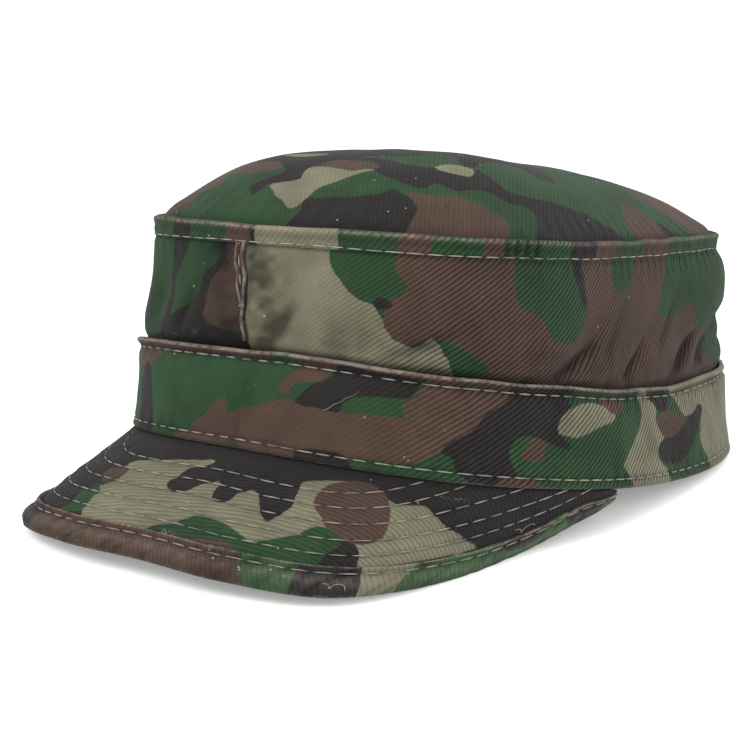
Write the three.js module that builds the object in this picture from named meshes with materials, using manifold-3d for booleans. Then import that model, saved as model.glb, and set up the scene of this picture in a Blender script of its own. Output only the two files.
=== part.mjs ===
// Soft patrol cap with a domed top, a broad band and a short bound peak.
// Millimetres, +Z up, front at -Y. The cap is drawn as it sits on a head, with its origin at the centre of
// the head opening, and the outer group then leans it back until it rests on its hem and its peak.
import * as THREE from "three";
import { mergeVertices } from "three/addons/utils/BufferGeometryUtils.js";
import Module from "manifold-3d";

const wasm = await Module();
wasm.setup();

// Ovals that carry the walls: half width, reach to the front and to the back, squareness of the oval,
// mean height, how far the front is raised, and how far front and back are raised over the sides.
const HEM = { halfWidth: 82.2, front: 101.9, back: 101.5, squareness: 2.71, height: 0, tip: 0, saddle: 3.4 };
const BAND_TOP = {
  halfWidth: 74.9, front: 101.4, back: 98.9, squareness: 3.14, height: 27.9, tip: -0.4, saddle: 3.9,
};
const RIM = { halfWidth: 68.7, front: 100.2, back: 92.7, squareness: 3.39, height: 68.9, tip: -4.4, saddle: 0.9 };

// Cloth and fitting
const CLOTH = 1.6;
const GAP = 0.3;
const AROUND = 72;

// Band section from the hem up to the lip: share of the band's height, and distance outside its oval
const BAND_FACE = [
  { share: 0.0, out: 0.0 },
  { share: 0.05, out: 0.8 },
  { share: 0.2, out: 0.3 },
  { share: 0.55, out: 0.2 },
  { share: 0.8, out: 0.2 },
  { share: 0.92, out: 1.1 },
  { share: 1.0, out: 0.2 },
];
const BAND_BACK = [
  { share: 0.0, out: -1.9 },
  { share: 0.05, out: -2.1 },
  { share: 0.2, out: -2.1 },
  { share: 0.55, out: -2.1 },
  { share: 0.8, out: -2.1 },
  { share: 0.92, out: -2.0 },
  { share: 1.0, out: -1.4 },
];

// Crown side from its tuck behind the band up to the welt: share of the height between lip and welt
const CROWN_FACE = [
  { share: -0.14, out: -2.7 },
  { share: -0.02, out: -2.3 },
  { share: 0.07, out: -0.6 },
  { share: 0.2, out: 0.3 },
  { share: 0.4, out: 0.1 },
  { share: 0.6, out: -0.2 },
  { share: 0.8, out: -0.3 },
  { share: 0.93, out: -0.4 },
  { share: 1.0, out: -0.8 },
];
const SIDE_STEPS = 36;

// Folds in the crown side: place round the girth in degrees from the front centre and as a share of the
// side's height, half length and half width in mm, lean of its length from the level, depth in mm (in is
// negative)
const FOLDS = [
  { at: 127, share: 0.26, length: 22, width: 5.5, lean: 4, depth: -3.6 },
  { at: 121, share: 0.62, length: 22, width: 9, lean: -8, depth: 1.6 },
  { at: 84, share: 0.24, length: 22, width: 5, lean: 38, depth: -2.4 },
  { at: 92, share: 0.5, length: 20, width: 6, lean: 40, depth: 1.4 },
  { at: 60, share: 0.24, length: 17, width: 5, lean: 42, depth: -2.0 },
  { at: 24, share: 0.26, length: 18, width: 5, lean: 36, depth: -1.8 },
  { at: 8, share: 0.52, length: 14, width: 5, lean: 62, depth: -1.7 },
  { at: -22, share: 0.4, length: 16, width: 5, lean: 75, depth: -1.5 },
  { at: -52, share: 0.28, length: 18, width: 5.5, lean: -32, depth: -2.0 },
  { at: -86, share: 0.25, length: 20, width: 5, lean: -38, depth: -2.4 },
  { at: -124, share: 0.28, length: 20, width: 5.5, lean: -6, depth: -3.0 },
  { at: 158, share: 0.24, length: 16, width: 5, lean: 28, depth: -1.9 },
  { at: -157, share: 0.26, length: 16, width: 5, lean: -30, depth: -1.8 },
];
const GIRTH_RADIUS = 90;
const SIDE_HEIGHT = 37;
const FOLD_FADE = { foot: 0.12, head: 0.72, end: 0.95 };

// Felled seams down the crown side; the front one leans with the cloth
const FRONT_SEAM = { foot: -0.005, head: -0.062 };
const BACK_SEAM = { foot: Math.PI, head: Math.PI };
const SEAM = { halfWidth: 2.2, foot: 0.09, head: 0.985, rise: 1.2, edgeRise: 0.7, rows: 9 };

// Top panel: rise of its middle over the rim, how late it drops, and how far its middle leans forward
const DOME = { rise: 21, lateness: 4, forwardLean: 3, rings: 9, edgeInset: 2.6, edgeDrop: 0.9 };

// Rolled welt between the top panel and the side
const WELT = { halfHeight: 1.8, halfDepth: 1.4, inset: 0.7, drop: 1.9, halfSteps: 4 };

// Outer edge of the peak, mirrored about the centre: turn about PEAK_CENTRE from straight ahead, reach
// from there, and height under the hem's plane
const PEAK_CENTRE = -32.8;
const PEAK_EDGE = [
  { turn: 0, reach: 109.4, height: -22.0 },
  { turn: 15, reach: 112.6, height: -22.5 },
  { turn: 30, reach: 113.2, height: -23.3 },
  { turn: 45, reach: 97.2, height: -23.4 },
  { turn: 60, reach: 83.2, height: -21.0 },
  { turn: 75, reach: 79.9, height: -14.7 },
  { turn: 90, reach: 80.8, height: -6.6 },
];
const TURN_STEP = 15;
const PEAK = {
  rootAngle: 1.187, rootSpread: 0.09, rootInset: -1.8, rootOutset: 0.4, thickness: 2.8, arch: 1.2,
  edgeRise: 1.9, steps: 40, rows: 5, leastLength: 1.2,
};
const PEAK_TAPER = { from: 0.82, to: 1.0, least: 0.35 };

// Bound edge: across its width from the lip to the outside, and lift over the peak's upper face
const BINDING_WIDTH = 8;
const BINDING_FACE = [
  { across: 0.0, lift: 0.0 },
  { across: 0.06, lift: 1.0 },
  { across: 0.2, lift: 0.6 },
  { across: 0.5, lift: 0.4 },
  { across: 0.8, lift: -0.2 },
  { across: 1.0, lift: -1.9 },
];
const BINDING_BACK = [
  { across: 0.0, lift: -2.8 },
  { across: 0.06, lift: -3.3 },
  { across: 0.2, lift: -3.7 },
  { across: 0.5, lift: -3.9 },
  { across: 0.8, lift: -3.4 },
  { across: 1.0, lift: -1.9 },
];

// Rest on a table: the lean that brings the back hem and the peak's sides to one level, the place of the
// head opening's centre, and the floor that flattens the cloth
const REST = { lean: -0.1269, back: 19.78, up: 8.86 };
const FLOOR = { side: 600, depth: 100 };

const COLOURS = { cloth: 0x3f5a41, tan: 0x8b8a6c, brown: 0x4c3a31, black: 0x2b2929, green: 0x2f5636 };
const ROUGHNESS = 0.9;

/** Point of an oval at an angle from straight ahead, turning to +X. */
function ovalPoint(oval, angle) {
  const ahead = Math.cos(angle);
  const aside = Math.sin(angle);
  const reach = ahead > 0 ? oval.front : oval.back;
  const share = Math.abs(ahead / reach) ** oval.squareness + Math.abs(aside / oval.halfWidth) ** oval.squareness;
  const radius = share ** (-1 / oval.squareness);
  const height = oval.height + oval.tip * ahead + oval.saddle * Math.cos(2 * angle);
  return new THREE.Vector3(radius * aside, -radius * ahead, height);
}

/** Level direction out of an oval at an angle. */
function ovalOutward(oval, angle) {
  const step = 0.01;
  const along = ovalPoint(oval, angle + step).sub(ovalPoint(oval, angle - step));
  return new THREE.Vector3(along.y, -along.x, 0).normalize();
}

/** Point on the wall between two ovals, moved outward. */
function wallPoint(lower, upper, angle, share, out) {
  const outward = ovalOutward(lower, angle).lerp(ovalOutward(upper, angle), share).normalize();
  return ovalPoint(lower, angle).lerp(ovalPoint(upper, angle), share).addScaledVector(outward, out);
}

/** Value of a column between the rows of a table, straight from row to row. */
function column(table, key, name, value) {
  let row = 0;
  while (row < table.length - 2 && value > table[row + 1][key]) row += 1;
  const span = table[row + 1][key] - table[row][key];
  const share = THREE.MathUtils.clamp((value - table[row][key]) / span, 0, 1);
  return THREE.MathUtils.lerp(table[row][name], table[row + 1][name], share);
}

/** How far the folds move the crown's side outward. */
function foldDepth(angle, share) {
  let depth = 0;
  for (const fold of FOLDS) {
    const turn = Math.atan2(Math.sin(angle - fold.at * THREE.MathUtils.DEG2RAD),
      Math.cos(angle - fold.at * THREE.MathUtils.DEG2RAD));
    const aside = turn * GIRTH_RADIUS;
    const above = (share - fold.share) * SIDE_HEIGHT;
    const lean = fold.lean * THREE.MathUtils.DEG2RAD;
    const along = aside * Math.cos(lean) + above * Math.sin(lean);
    const across = above * Math.cos(lean) - aside * Math.sin(lean);
    depth += fold.depth * Math.exp(-((along / fold.length) ** 2) - (across / fold.width) ** 2);
  }
  const foot = THREE.MathUtils.smoothstep(share, 0, FOLD_FADE.foot);
  const head = 1 - THREE.MathUtils.smoothstep(share, FOLD_FADE.head, FOLD_FADE.end);
  return depth * foot * head;
}

/** Point on the crown's side, moved in or out from its outer face. */
function crownPoint(angle, share, out) {
  const face = column(CROWN_FACE, "share", "out", share) + foldDepth(angle, share);
  const height = ovalPoint(RIM, angle).z - ovalPoint(BAND_TOP, angle).z;
  const weltShare = 1 - (WELT.drop + WELT.halfHeight + GAP) / height;
  return wallPoint(BAND_TOP, RIM, angle, share * weltShare, face + out);
}

/** Angle of a seam at a share of the crown side's height. */
function seamAngle(seam, share) {
  return THREE.MathUtils.lerp(seam.foot, seam.head, share);
}

/** Smooth value of a column of PEAK_EDGE at a turn in degrees. */
function edgeColumn(name, turn) {
  const place = Math.abs(turn) / TURN_STEP;
  const last = PEAK_EDGE.length - 1;
  const row = Math.min(Math.floor(place), last - 1);
  const value = (index) => {
    if (index < 0) return PEAK_EDGE[-index][name];
    if (index > last) return 2 * PEAK_EDGE[last][name] - PEAK_EDGE[2 * last - index][name];
    return PEAK_EDGE[index][name];
  };
  const t = place - row;
  const [before, from, to, after] = [value(row - 1), value(row), value(row + 1), value(row + 2)];
  const bend = 2 * before - 5 * from + 4 * to - after;
  const twist = 3 * from - before - 3 * to + after;
  return from + 0.5 * t * (to - before + t * (bend + t * twist));
}

/** Outermost point of the peak; side runs from -1 to 1. */
function peakEdge(side) {
  const turn = side * Math.PI / 2;
  const reach = edgeColumn("reach", side * 90);
  const height = edgeColumn("height", side * 90);
  return new THREE.Vector3(reach * Math.sin(turn), PEAK_CENTRE - reach * Math.cos(turn), height);
}

/** Angle on the hem where the line to a side of the peak's edge starts. */
function rootAngle(side) {
  return PEAK.rootAngle * side + PEAK.rootSpread * Math.sin(Math.PI * side);
}

/** Share of its full thickness that the peak has left towards its two ends. */
function peakTaper(side) {
  const share = THREE.MathUtils.smoothstep(Math.abs(side), PEAK_TAPER.from, PEAK_TAPER.to);
  return THREE.MathUtils.lerp(1, PEAK_TAPER.least, share);
}

/** Where the peak's upper face leaves the band, and where it would end at its outer edge. */
function peakLine(side) {
  const root = wallPoint(HEM, BAND_TOP, rootAngle(side), 0, PEAK.rootOutset);
  root.z -= GAP;
  const edge = peakEdge(side);
  edge.z += PEAK.edgeRise * peakTaper(side);
  const least = BINDING_WIDTH * peakTaper(side) + PEAK.leastLength;
  return { root, edge, length: Math.max(root.distanceTo(edge), least) };
}

/** Point on the peak's upper face; share runs from the band to the outer edge. */
function peakPoint(side, share) {
  const { root, edge } = peakLine(side);
  const point = root.lerp(edge, share);
  point.z += PEAK.arch * Math.sin(Math.PI * share) * (1 - side * side);
  return point;
}

/** Direction out of the peak's upper face. */
function peakUp(side, share) {
  const step = 0.01;
  const aside = peakPoint(Math.min(side + step, 1), share).sub(peakPoint(Math.max(side - step, -1), share));
  const ahead = peakPoint(side, share + step).sub(peakPoint(side, share - step));
  return ahead.cross(aside).normalize();
}

/** Share of the peak's line at which its bound edge starts. */
function lipShare(side) {
  return 1 - BINDING_WIDTH * peakTaper(side) / peakLine(side).length;
}

/** Even steps from one value to another, both included. */
function steps(from, to, count) {
  return Array.from({ length: count + 1 }, (_, i) => from + (to - from) * i / count);
}

/** Closed wall between an outer and an inner grid; seen from outside, rows run left to right. */
function clothWall(outer, inner, isRing) {
  const rows = outer.length;
  const last = outer[0].length - 1;
  const position = [outer, inner].flat(2).flatMap((point) => point.toArray());
  const faces = [];
  const at = (side, row, place) => (side * rows + (row % rows)) * (last + 1) + place;
  const quad = (a, b, c, d) => faces.push(a, b, c, a, c, d);
  const strips = isRing ? rows : rows - 1;
  for (let row = 0; row < strips; row += 1) {
    for (let place = 0; place < last; place += 1) {
      quad(at(0, row, place), at(0, row + 1, place), at(0, row + 1, place + 1), at(0, row, place + 1));
      quad(at(1, row, place), at(1, row, place + 1), at(1, row + 1, place + 1), at(1, row + 1, place));
    }
    quad(at(1, row, 0), at(1, row + 1, 0), at(0, row + 1, 0), at(0, row, 0));
    quad(at(0, row, last), at(0, row + 1, last), at(1, row + 1, last), at(1, row, last));
  }
  for (let place = 0; place < last && !isRing; place += 1) {
    quad(at(0, 0, place), at(0, 0, place + 1), at(1, 0, place + 1), at(1, 0, place));
    quad(at(0, rows - 1, place + 1), at(0, rows - 1, place), at(1, rows - 1, place), at(1, rows - 1, place + 1));
  }
  const geometry = new THREE.BufferGeometry();
  geometry.setAttribute("position", new THREE.Float32BufferAttribute(position, 3));
  geometry.setIndex(faces);
  return geometry;
}

/** Solid of a closed mesh, with its shared corners merged and its empty faces left out. */
function toSolid(geometry) {
  const merged = mergeVertices(geometry, 1e-3);
  const index = merged.getIndex().array;
  const kept = [];
  for (let i = 0; i < index.length; i += 3) {
    const [a, b, c] = [index[i], index[i + 1], index[i + 2]];
    if (a !== b && b !== c && c !== a) kept.push(a, b, c);
  }
  const vertProperties = new Float32Array(merged.getAttribute("position").array);
  return new wasm.Manifold(new wasm.Mesh({ numProp: 3, vertProperties, triVerts: new Uint32Array(kept) }));
}

/** Mesh of a solid in one colour. */
function toMesh(name, solid, colour) {
  const { vertProperties, triVerts } = solid.getMesh();
  const geometry = new THREE.BufferGeometry();
  geometry.setAttribute("position", new THREE.BufferAttribute(vertProperties, 3));
  geometry.setIndex(new THREE.BufferAttribute(triVerts, 1));
  geometry.computeVertexNormals();
  const mesh = new THREE.Mesh(geometry, new THREE.MeshStandardMaterial({ color: colour, roughness: ROUGHNESS }));
  mesh.name = name;
  return mesh;
}

/** Group that leans the cap back to where it lies on a table. */
function restingGroup() {
  const group = new THREE.Group();
  group.rotation.x = REST.lean;
  group.position.set(0, REST.back, REST.up);
  group.updateMatrixWorld(true);
  return group;
}

/** The table's top as a solid in the cap's own frame, which flattens what rests on it. */
function tableSolid(group) {
  const box = new THREE.BoxGeometry(FLOOR.side, FLOOR.side, FLOOR.depth);
  box.translate(0, 0, -FLOOR.depth / 2);
  box.applyMatrix4(group.matrixWorld.clone().invert());
  box.deleteAttribute("normal");
  box.deleteAttribute("uv");
  return toSolid(box);
}

/** Band round the head, with its turned hem and rolled lip. */
function band() {
  const angles = steps(0, 2 * Math.PI, AROUND).slice(0, -1);
  const face = (table) => angles.map((angle) => (
    table.map((row) => wallPoint(HEM, BAND_TOP, angle, row.share, row.out))));
  return clothWall(face(BAND_FACE), face(BAND_BACK), true);
}

/** One half of the crown's side, between two seams. */
function sidePanel(from, to) {
  const halfGap = GAP / 2 / GIRTH_RADIUS;
  const shares = CROWN_FACE.map((row) => row.share);
  const face = (out) => steps(0, 1, SIDE_STEPS).map((turn) => shares.map((share) => {
    const start = seamAngle(from, share) + halfGap;
    const end = seamAngle(to, share) - halfGap;
    return crownPoint(THREE.MathUtils.lerp(start, end, turn), share, out);
  }));
  return clothWall(face(0), face(-CLOTH), false);
}

/** Felled strip over a seam of the crown's side. */
function seamStrip(seam) {
  const shares = steps(SEAM.foot, SEAM.head, SEAM.rows);
  const places = [
    { aside: -SEAM.halfWidth, rise: SEAM.edgeRise },
    { aside: 0, rise: SEAM.rise },
    { aside: SEAM.halfWidth, rise: SEAM.edgeRise },
  ];
  const face = (isOuter) => places.map((place) => shares.map((share) => {
    const angle = seamAngle(seam, share) + place.aside / GIRTH_RADIUS;
    return crownPoint(angle, share, GAP + (isOuter ? place.rise : 0));
  }));
  return clothWall(face(true), face(false), false);
}

/** Rolled welt round the top. */
function topWelt() {
  const angles = steps(0, 2 * Math.PI, AROUND).slice(0, -1);
  const half = (sign) => angles.map((angle) => (
    steps(-Math.PI / 2, Math.PI / 2, WELT.halfSteps).map((turn) => {
      const point = wallPoint(RIM, RIM, angle, 0, sign * WELT.halfDepth * Math.cos(turn) - WELT.inset);
      point.z += WELT.halfHeight * Math.sin(turn) - WELT.drop;
      return point;
    })));
  return clothWall(half(1), half(-1), true);
}

/** Domed top panel, from its middle out to the welt. */
function crownTop() {
  const angles = steps(0, 2 * Math.PI, AROUND).slice(0, -1);
  const face = (under) => angles.map((angle) => steps(1, 0, DOME.rings).map((share) => {
    const edge = wallPoint(RIM, RIM, angle, 0, -DOME.edgeInset);
    const flat = share ** DOME.lateness;
    const middle = RIM.height + DOME.rise - DOME.forwardLean * edge.y * share / GIRTH_RADIUS;
    const height = THREE.MathUtils.lerp(middle, edge.z - DOME.edgeDrop, flat);
    return new THREE.Vector3(edge.x * share, edge.y * share, height - under);
  }));
  return clothWall(face(0), face(CLOTH), true);
}

/** Stiff peak, from under the band to its bound edge. */
function peak() {
  const sides = steps(-1, 1, PEAK.steps);
  const face = (fullDepth) => sides.map((side) => {
    const depth = fullDepth * peakTaper(side);
    const rim = wallPoint(HEM, BAND_TOP, rootAngle(side), 0, PEAK.rootInset);
    rim.z -= GAP + depth;
    const lip = lipShare(side) - GAP / peakLine(side).length;
    const rows = steps(0, lip, PEAK.rows).map((share) => (
      peakPoint(side, share).addScaledVector(peakUp(side, share), -depth)));
    return [rim, ...rows];
  });
  return clothWall(face(PEAK.thickness), face(0), false);
}

/** Bound edge round the peak. */
function peakBinding() {
  const sides = steps(-1, 1, PEAK.steps);
  const face = (table) => sides.map((side) => table.map((row) => {
    const share = lipShare(side) + row.across * (1 - lipShare(side));
    return peakPoint(side, share).addScaledVector(peakUp(side, share), row.lift * peakTaper(side));
  }));
  return clothWall(face(BINDING_BACK), face(BINDING_FACE), false);
}

const cap = restingGroup();
const table = tableSolid(cap);
const resting = (geometry) => toSolid(geometry).subtract(table);

const leftBack = { foot: BACK_SEAM.foot - 2 * Math.PI, head: BACK_SEAM.head - 2 * Math.PI };
cap.add(toMesh("crown_top", toSolid(crownTop()), COLOURS.green));
cap.add(toMesh("top_welt", toSolid(topWelt()), COLOURS.cloth));
cap.add(toMesh("side_panel_left", toSolid(sidePanel(FRONT_SEAM, BACK_SEAM)), COLOURS.brown));
cap.add(toMesh("side_panel_right", toSolid(sidePanel(leftBack, FRONT_SEAM)), COLOURS.green));
cap.add(toMesh("front_seam", toSolid(seamStrip(FRONT_SEAM)), COLOURS.black));
cap.add(toMesh("back_seam", toSolid(seamStrip(BACK_SEAM)), COLOURS.black));
cap.add(toMesh("band", resting(band()), COLOURS.cloth));
cap.add(toMesh("peak", resting(peak()), COLOURS.tan));
cap.add(toMesh("peak_binding", resting(peakBinding()), COLOURS.brown));

const patrolCap = new THREE.Group();
patrolCap.add(cap);

export default patrolCap;
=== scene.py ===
"""Soft patrol cap in woodland twill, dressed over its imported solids.

Lengths are millimetres in the cap's own frame, in which it sits on a level head: the origin is the centre
of the head opening and the front faces -Y. RestingPose lays the cap on the table, in metres.
"""
import logging
import math
from dataclasses import dataclass, field
from enum import Enum
from typing import NamedTuple

import bmesh
import bpy
import numpy as np
from mathutils import Matrix


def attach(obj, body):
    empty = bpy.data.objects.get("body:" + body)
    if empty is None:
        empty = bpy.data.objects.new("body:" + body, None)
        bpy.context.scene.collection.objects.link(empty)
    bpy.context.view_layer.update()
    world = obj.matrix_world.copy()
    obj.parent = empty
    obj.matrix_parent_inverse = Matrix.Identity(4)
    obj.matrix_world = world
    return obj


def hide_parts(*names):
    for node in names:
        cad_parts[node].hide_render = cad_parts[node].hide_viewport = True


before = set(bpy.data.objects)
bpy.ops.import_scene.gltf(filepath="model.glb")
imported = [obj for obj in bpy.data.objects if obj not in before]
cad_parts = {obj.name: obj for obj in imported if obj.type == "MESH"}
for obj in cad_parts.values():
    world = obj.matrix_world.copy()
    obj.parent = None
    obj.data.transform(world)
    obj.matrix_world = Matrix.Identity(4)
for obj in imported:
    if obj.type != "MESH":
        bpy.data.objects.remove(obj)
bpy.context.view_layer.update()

LOG = logging.getLogger("patrol_cap")
BODY = "root"
MM = 0.001
GIRTH_RADIUS = 90.0
MM_PER_DEGREE = math.radians(GIRTH_RADIUS)
GAP = 0.3
CLOTH = 1.6
TAU = 2 * math.pi
# How clear the twill is where it is worn flat, and the degrees over which it comes back on the right
FLAT_TWILL = 0.1
WORN_RIGHT = (45, 85)
# Shifts in mm that keep a piece's noise away from its origin
NOISE_SHIFT = 300.0
SHADE_NOISE_SHIFT = 400.0
TOP_SHIFT = 200.0


class Dye(Enum):
    """The dyes printed over the green ground of the cloth."""

    GREEN = "green"
    TAN = "tan"
    BROWN = "brown"
    BLACK = "black"


PRINTED = (Dye.TAN, Dye.BROWN, Dye.BLACK)


def unit(vectors: np.ndarray) -> np.ndarray:
    """Vectors at length one."""
    return vectors / np.linalg.norm(vectors, axis=-1, keepdims=True)


def smoothstep(value: np.ndarray, start: float, end: float) -> np.ndarray:
    """Smooth rise from 0 at start to 1 at end."""
    share = np.clip((value - start) / (end - start), 0, 1)
    return share * share * (3 - 2 * share)


def bell(distance: np.ndarray, width: float) -> np.ndarray:
    """Rounded bump of height one, width mm to each side."""
    return np.exp(-(distance / width) ** 2)


def from_front(angle: np.ndarray) -> np.ndarray:
    """Degrees from straight ahead, between -180 and 180."""
    return np.degrees(np.arctan2(np.sin(angle), np.cos(angle)))


def on_drum(angle: np.ndarray, height: np.ndarray | float) -> np.ndarray:
    """Places on a drum of the cap's size, for noise that meets itself behind."""
    aside, ahead = np.sin(angle) * GIRTH_RADIUS, np.cos(angle) * GIRTH_RADIUS
    return np.stack([aside, ahead, np.broadcast_to(height, angle.shape)], axis=-1)


def twill_clearness(degrees: np.ndarray, start: float, end: float) -> np.ndarray:
    """How clearly the twill shows round the cap, which is worn flat at its front."""
    clear = np.where(degrees < 0, smoothstep(-degrees, *WORN_RIGHT), smoothstep(degrees, start, end))
    return FLAT_TWILL + (1 - FLAT_TWILL) * clear


def steps_at(spans: tuple[tuple[float, float, int], ...]) -> np.ndarray:
    """Even steps through joined spans.

    Args:
        spans: start, end and number of steps of each span; each starts where the one before ends.

    Returns:
        All the values, the first and last included once.
    """
    parts = [np.linspace(start, end, count, endpoint=False) for start, end, count in spans]
    return np.append(np.concatenate(parts), spans[-1][1])


@dataclass(frozen=True)
class Unevenness:
    """Smooth seeded noise between -1 and 1.

    Attributes:
        seed: picks the pattern.
        size: length of one bump in mm.
        depth: height of the bumps, in what they are used for.
        cells: bumps along each side before the pattern repeats.
    """

    seed: int
    size: float
    depth: float = 1.0
    cells: int = 32

    def relief(self, points: np.ndarray) -> np.ndarray:
        """Noise at points in mm, times the depth."""
        return self.depth * self.at(points)

    def at(self, points: np.ndarray) -> np.ndarray:
        """Noise at points in mm, with two or three coordinates.

        Args:
            points: places with two or three coordinates.

        Returns:
            One value for each place.
        """
        if points.shape[-1] == 2:
            points = np.concatenate([points, np.zeros_like(points[..., :1])], axis=-1)
        lattice = np.random.default_rng(self.seed).uniform(-1, 1, (self.cells,) * 3)
        place = points / self.size
        corner = np.floor(place).astype(int)
        part = place - corner
        part = part * part * (3 - 2 * part)
        total = np.zeros(points.shape[:-1])
        for dx in (0, 1):
            for dy in (0, 1):
                for dz in (0, 1):
                    shift = (dx, dy, dz)
                    weight = np.prod(np.where(shift, part, 1 - part), axis=-1)
                    i, j, k = np.moveaxis((corner + shift) % self.cells, -1, 0)
                    total += weight * lattice[i, j, k]
        return total


@dataclass(frozen=True)
class Oval:
    """Level superellipse that carries a wall of the cap."""

    half_width: float
    front: float
    back: float
    squareness: float
    height: float
    tip: float
    saddle: float

    def points(self, angle: np.ndarray) -> np.ndarray:
        """Points at angles from straight ahead, turning to +X.

        Args:
            angle: angles in radians.

        Returns:
            The points in mm.
        """
        ahead = np.cos(angle)
        aside = np.sin(angle)
        reach = np.where(ahead > 0, self.front, self.back)
        share = np.abs(ahead / reach) ** self.squareness + np.abs(aside / self.half_width) ** self.squareness
        radius = share ** (-1 / self.squareness)
        height = self.height + self.tip * ahead + self.saddle * np.cos(2 * angle)
        return np.stack([radius * aside, -radius * ahead, height], axis=-1)

    def outward(self, angle: np.ndarray) -> np.ndarray:
        """Level directions out of the oval.

        Args:
            angle: angles round it, in radians.

        Returns:
            Unit vectors.
        """
        step = 0.01
        along = self.points(angle + step) - self.points(angle - step)
        return unit(np.stack([along[..., 1], -along[..., 0], np.zeros_like(angle)], axis=-1))


HEM = Oval(half_width=82.2, front=101.9, back=101.5, squareness=2.71, height=0.0, tip=0.0, saddle=3.4)
BAND_TOP = Oval(half_width=74.9, front=101.4, back=98.9, squareness=3.14, height=27.9, tip=-0.4, saddle=3.9)
RIM = Oval(half_width=68.7, front=100.2, back=92.7, squareness=3.39, height=68.9, tip=-4.4, saddle=0.9)


def wall(lower: Oval, upper: Oval, angle: np.ndarray, share: np.ndarray, out: np.ndarray) -> np.ndarray:
    """Points on the ruled wall between two ovals, moved outward.

    Args:
        lower, upper: the ovals.
        angle: angles round them.
        share: place from the lower to the upper, from 0 to 1.
        out: distance outside the wall.

    Returns:
        The points in mm.
    """
    angle, share, out = np.broadcast_arrays(angle, share, out)
    share = share[..., None]
    outward = unit(lower.outward(angle) * (1 - share) + upper.outward(angle) * share)
    return lower.points(angle) * (1 - share) + upper.points(angle) * share + outward * out[..., None]


class SectionRow(NamedTuple):
    """One row of a wall's section: its share of the height, and its distance out of the wall."""

    share: float
    out: float


class Fold(NamedTuple):
    """Rounded fold in the crown's side: degrees round it, mm over the lip, half length and half width in
    mm, lean in degrees, and depth in mm, in being negative."""

    at: float
    above: float
    length: float
    width: float
    lean: float
    depth: float


class EdgeRow(NamedTuple):
    """Outer edge of the peak: turn from straight ahead, reach from the centre, and height."""

    turn: float
    reach: float
    height: float


class LooseThread(NamedTuple):
    """Loose end of thread on the peak: turn in degrees, mm from the edge, length and curl in mm, coils."""

    turn: float
    inset: float
    length: float
    curl: float
    coils: float


def section(rows: tuple[SectionRow, ...], share: np.ndarray) -> np.ndarray:
    """Smooth curve through the rows of a section, at shares of its height.

    Args:
        rows: the section, from its foot up.
        share: shares of the height.

    Returns:
        Distance out at each share, in mm.
    """
    places = np.array([row.share for row in rows])
    values = np.array([row.out for row in rows])
    slope = np.gradient(values, places)
    share = np.clip(share, places[0], places[-1])
    row = np.clip(np.searchsorted(places, share, side="right") - 1, 0, len(rows) - 2)
    span = places[row + 1] - places[row]
    t = (share - places[row]) / span
    ahead = 1 - t
    ends = (1 + 2 * t) * ahead * ahead * values[row] + t * t * (3 - 2 * t) * values[row + 1]
    return ends + t * ahead * span * (ahead * slope[row] - t * slope[row + 1])


@dataclass(frozen=True)
class RestingPose:
    """Lean and place that lay the cap on the table."""

    lean: float = -0.1269
    back: float = 19.78
    up: float = 8.86

    def turn(self) -> np.ndarray:
        """Rotation from the cap's frame to the table's."""
        cos, sin = math.cos(self.lean), math.sin(self.lean)
        return np.array([[1, 0, 0], [0, cos, -sin], [0, sin, cos]])

    def place(self, points: np.ndarray) -> np.ndarray:
        """Points of the cap in metres over the table, flattened where they would go under it.

        Args:
            points: places in the cap's frame, in mm.

        Returns:
            Places in the table's frame, in m.
        """
        placed = (points @ self.turn().T + (0, self.back, self.up)) * MM
        placed[..., 2] = np.maximum(placed[..., 2], 0)
        return placed


REST = RestingPose()


def closed_curve(outline: np.ndarray, parts: int = 4) -> np.ndarray:
    """Round closed curve through the points of an outline.

    Args:
        outline: its corners, one a row.
        parts: steps from one corner to the next.

    Returns:
        Points of the curve.
    """
    before, start, end, after = (np.roll(outline, shift, axis=0)[:, None, :] for shift in (1, 0, -1, -2))
    t = (np.arange(parts) / parts)[None, :, None]
    bend = 2 * before - 5 * start + 4 * end - after
    twist = 3 * start - before - 3 * end + after
    return (start + 0.5 * t * (end - before + t * (bend + t * twist))).reshape(-1, 2)


def inside_distance(points: np.ndarray, outline: np.ndarray) -> np.ndarray:
    """Distance of points to a closed outline, positive inside it.

    Args:
        points: places in mm, one a row.
        outline: corners of the outline in mm.

    Returns:
        One distance for each point.
    """
    nearest = np.full(len(points), np.inf)
    crossings = np.zeros(len(points), dtype=int)
    for start, end in zip(outline, np.roll(outline, -1, axis=0)):
        along = end - start
        reach = max(float(along @ along), 1e-9)
        offset = points - start
        share = np.clip(offset @ along / reach, 0, 1)
        nearest = np.minimum(nearest, ((offset - share[:, None] * along) ** 2).sum(axis=1))
        if start[1] != end[1]:
            above = (start[1] > points[:, 1]) != (end[1] > points[:, 1])
            crossing = start[0] + (points[:, 1] - start[1]) * along[0] / along[1]
            crossings += above & (points[:, 0] < crossing)
    return np.sqrt(nearest) * np.where(crossings % 2, 1, -1)


class Patch(NamedTuple):
    """Patch of one dye, with the corners of its outline."""

    dye: Dye
    outline: tuple[tuple[float, float], ...]


@dataclass(frozen=True)
class Chart:
    """Patches of one piece of cloth, each over those before it.

    Attributes:
        patches: the patches, with outlines in the chart's two directions.
        scale: mm for one unit of each direction.
    """

    patches: tuple[Patch, ...]
    scale: tuple[float, float] = (1.0, 1.0)


class Blot(NamedTuple):
    """Wandering blots of one dye: seed, size in mm, and the noise level at their edge."""

    dye: Dye
    seed: int
    size: float
    level: float


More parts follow.
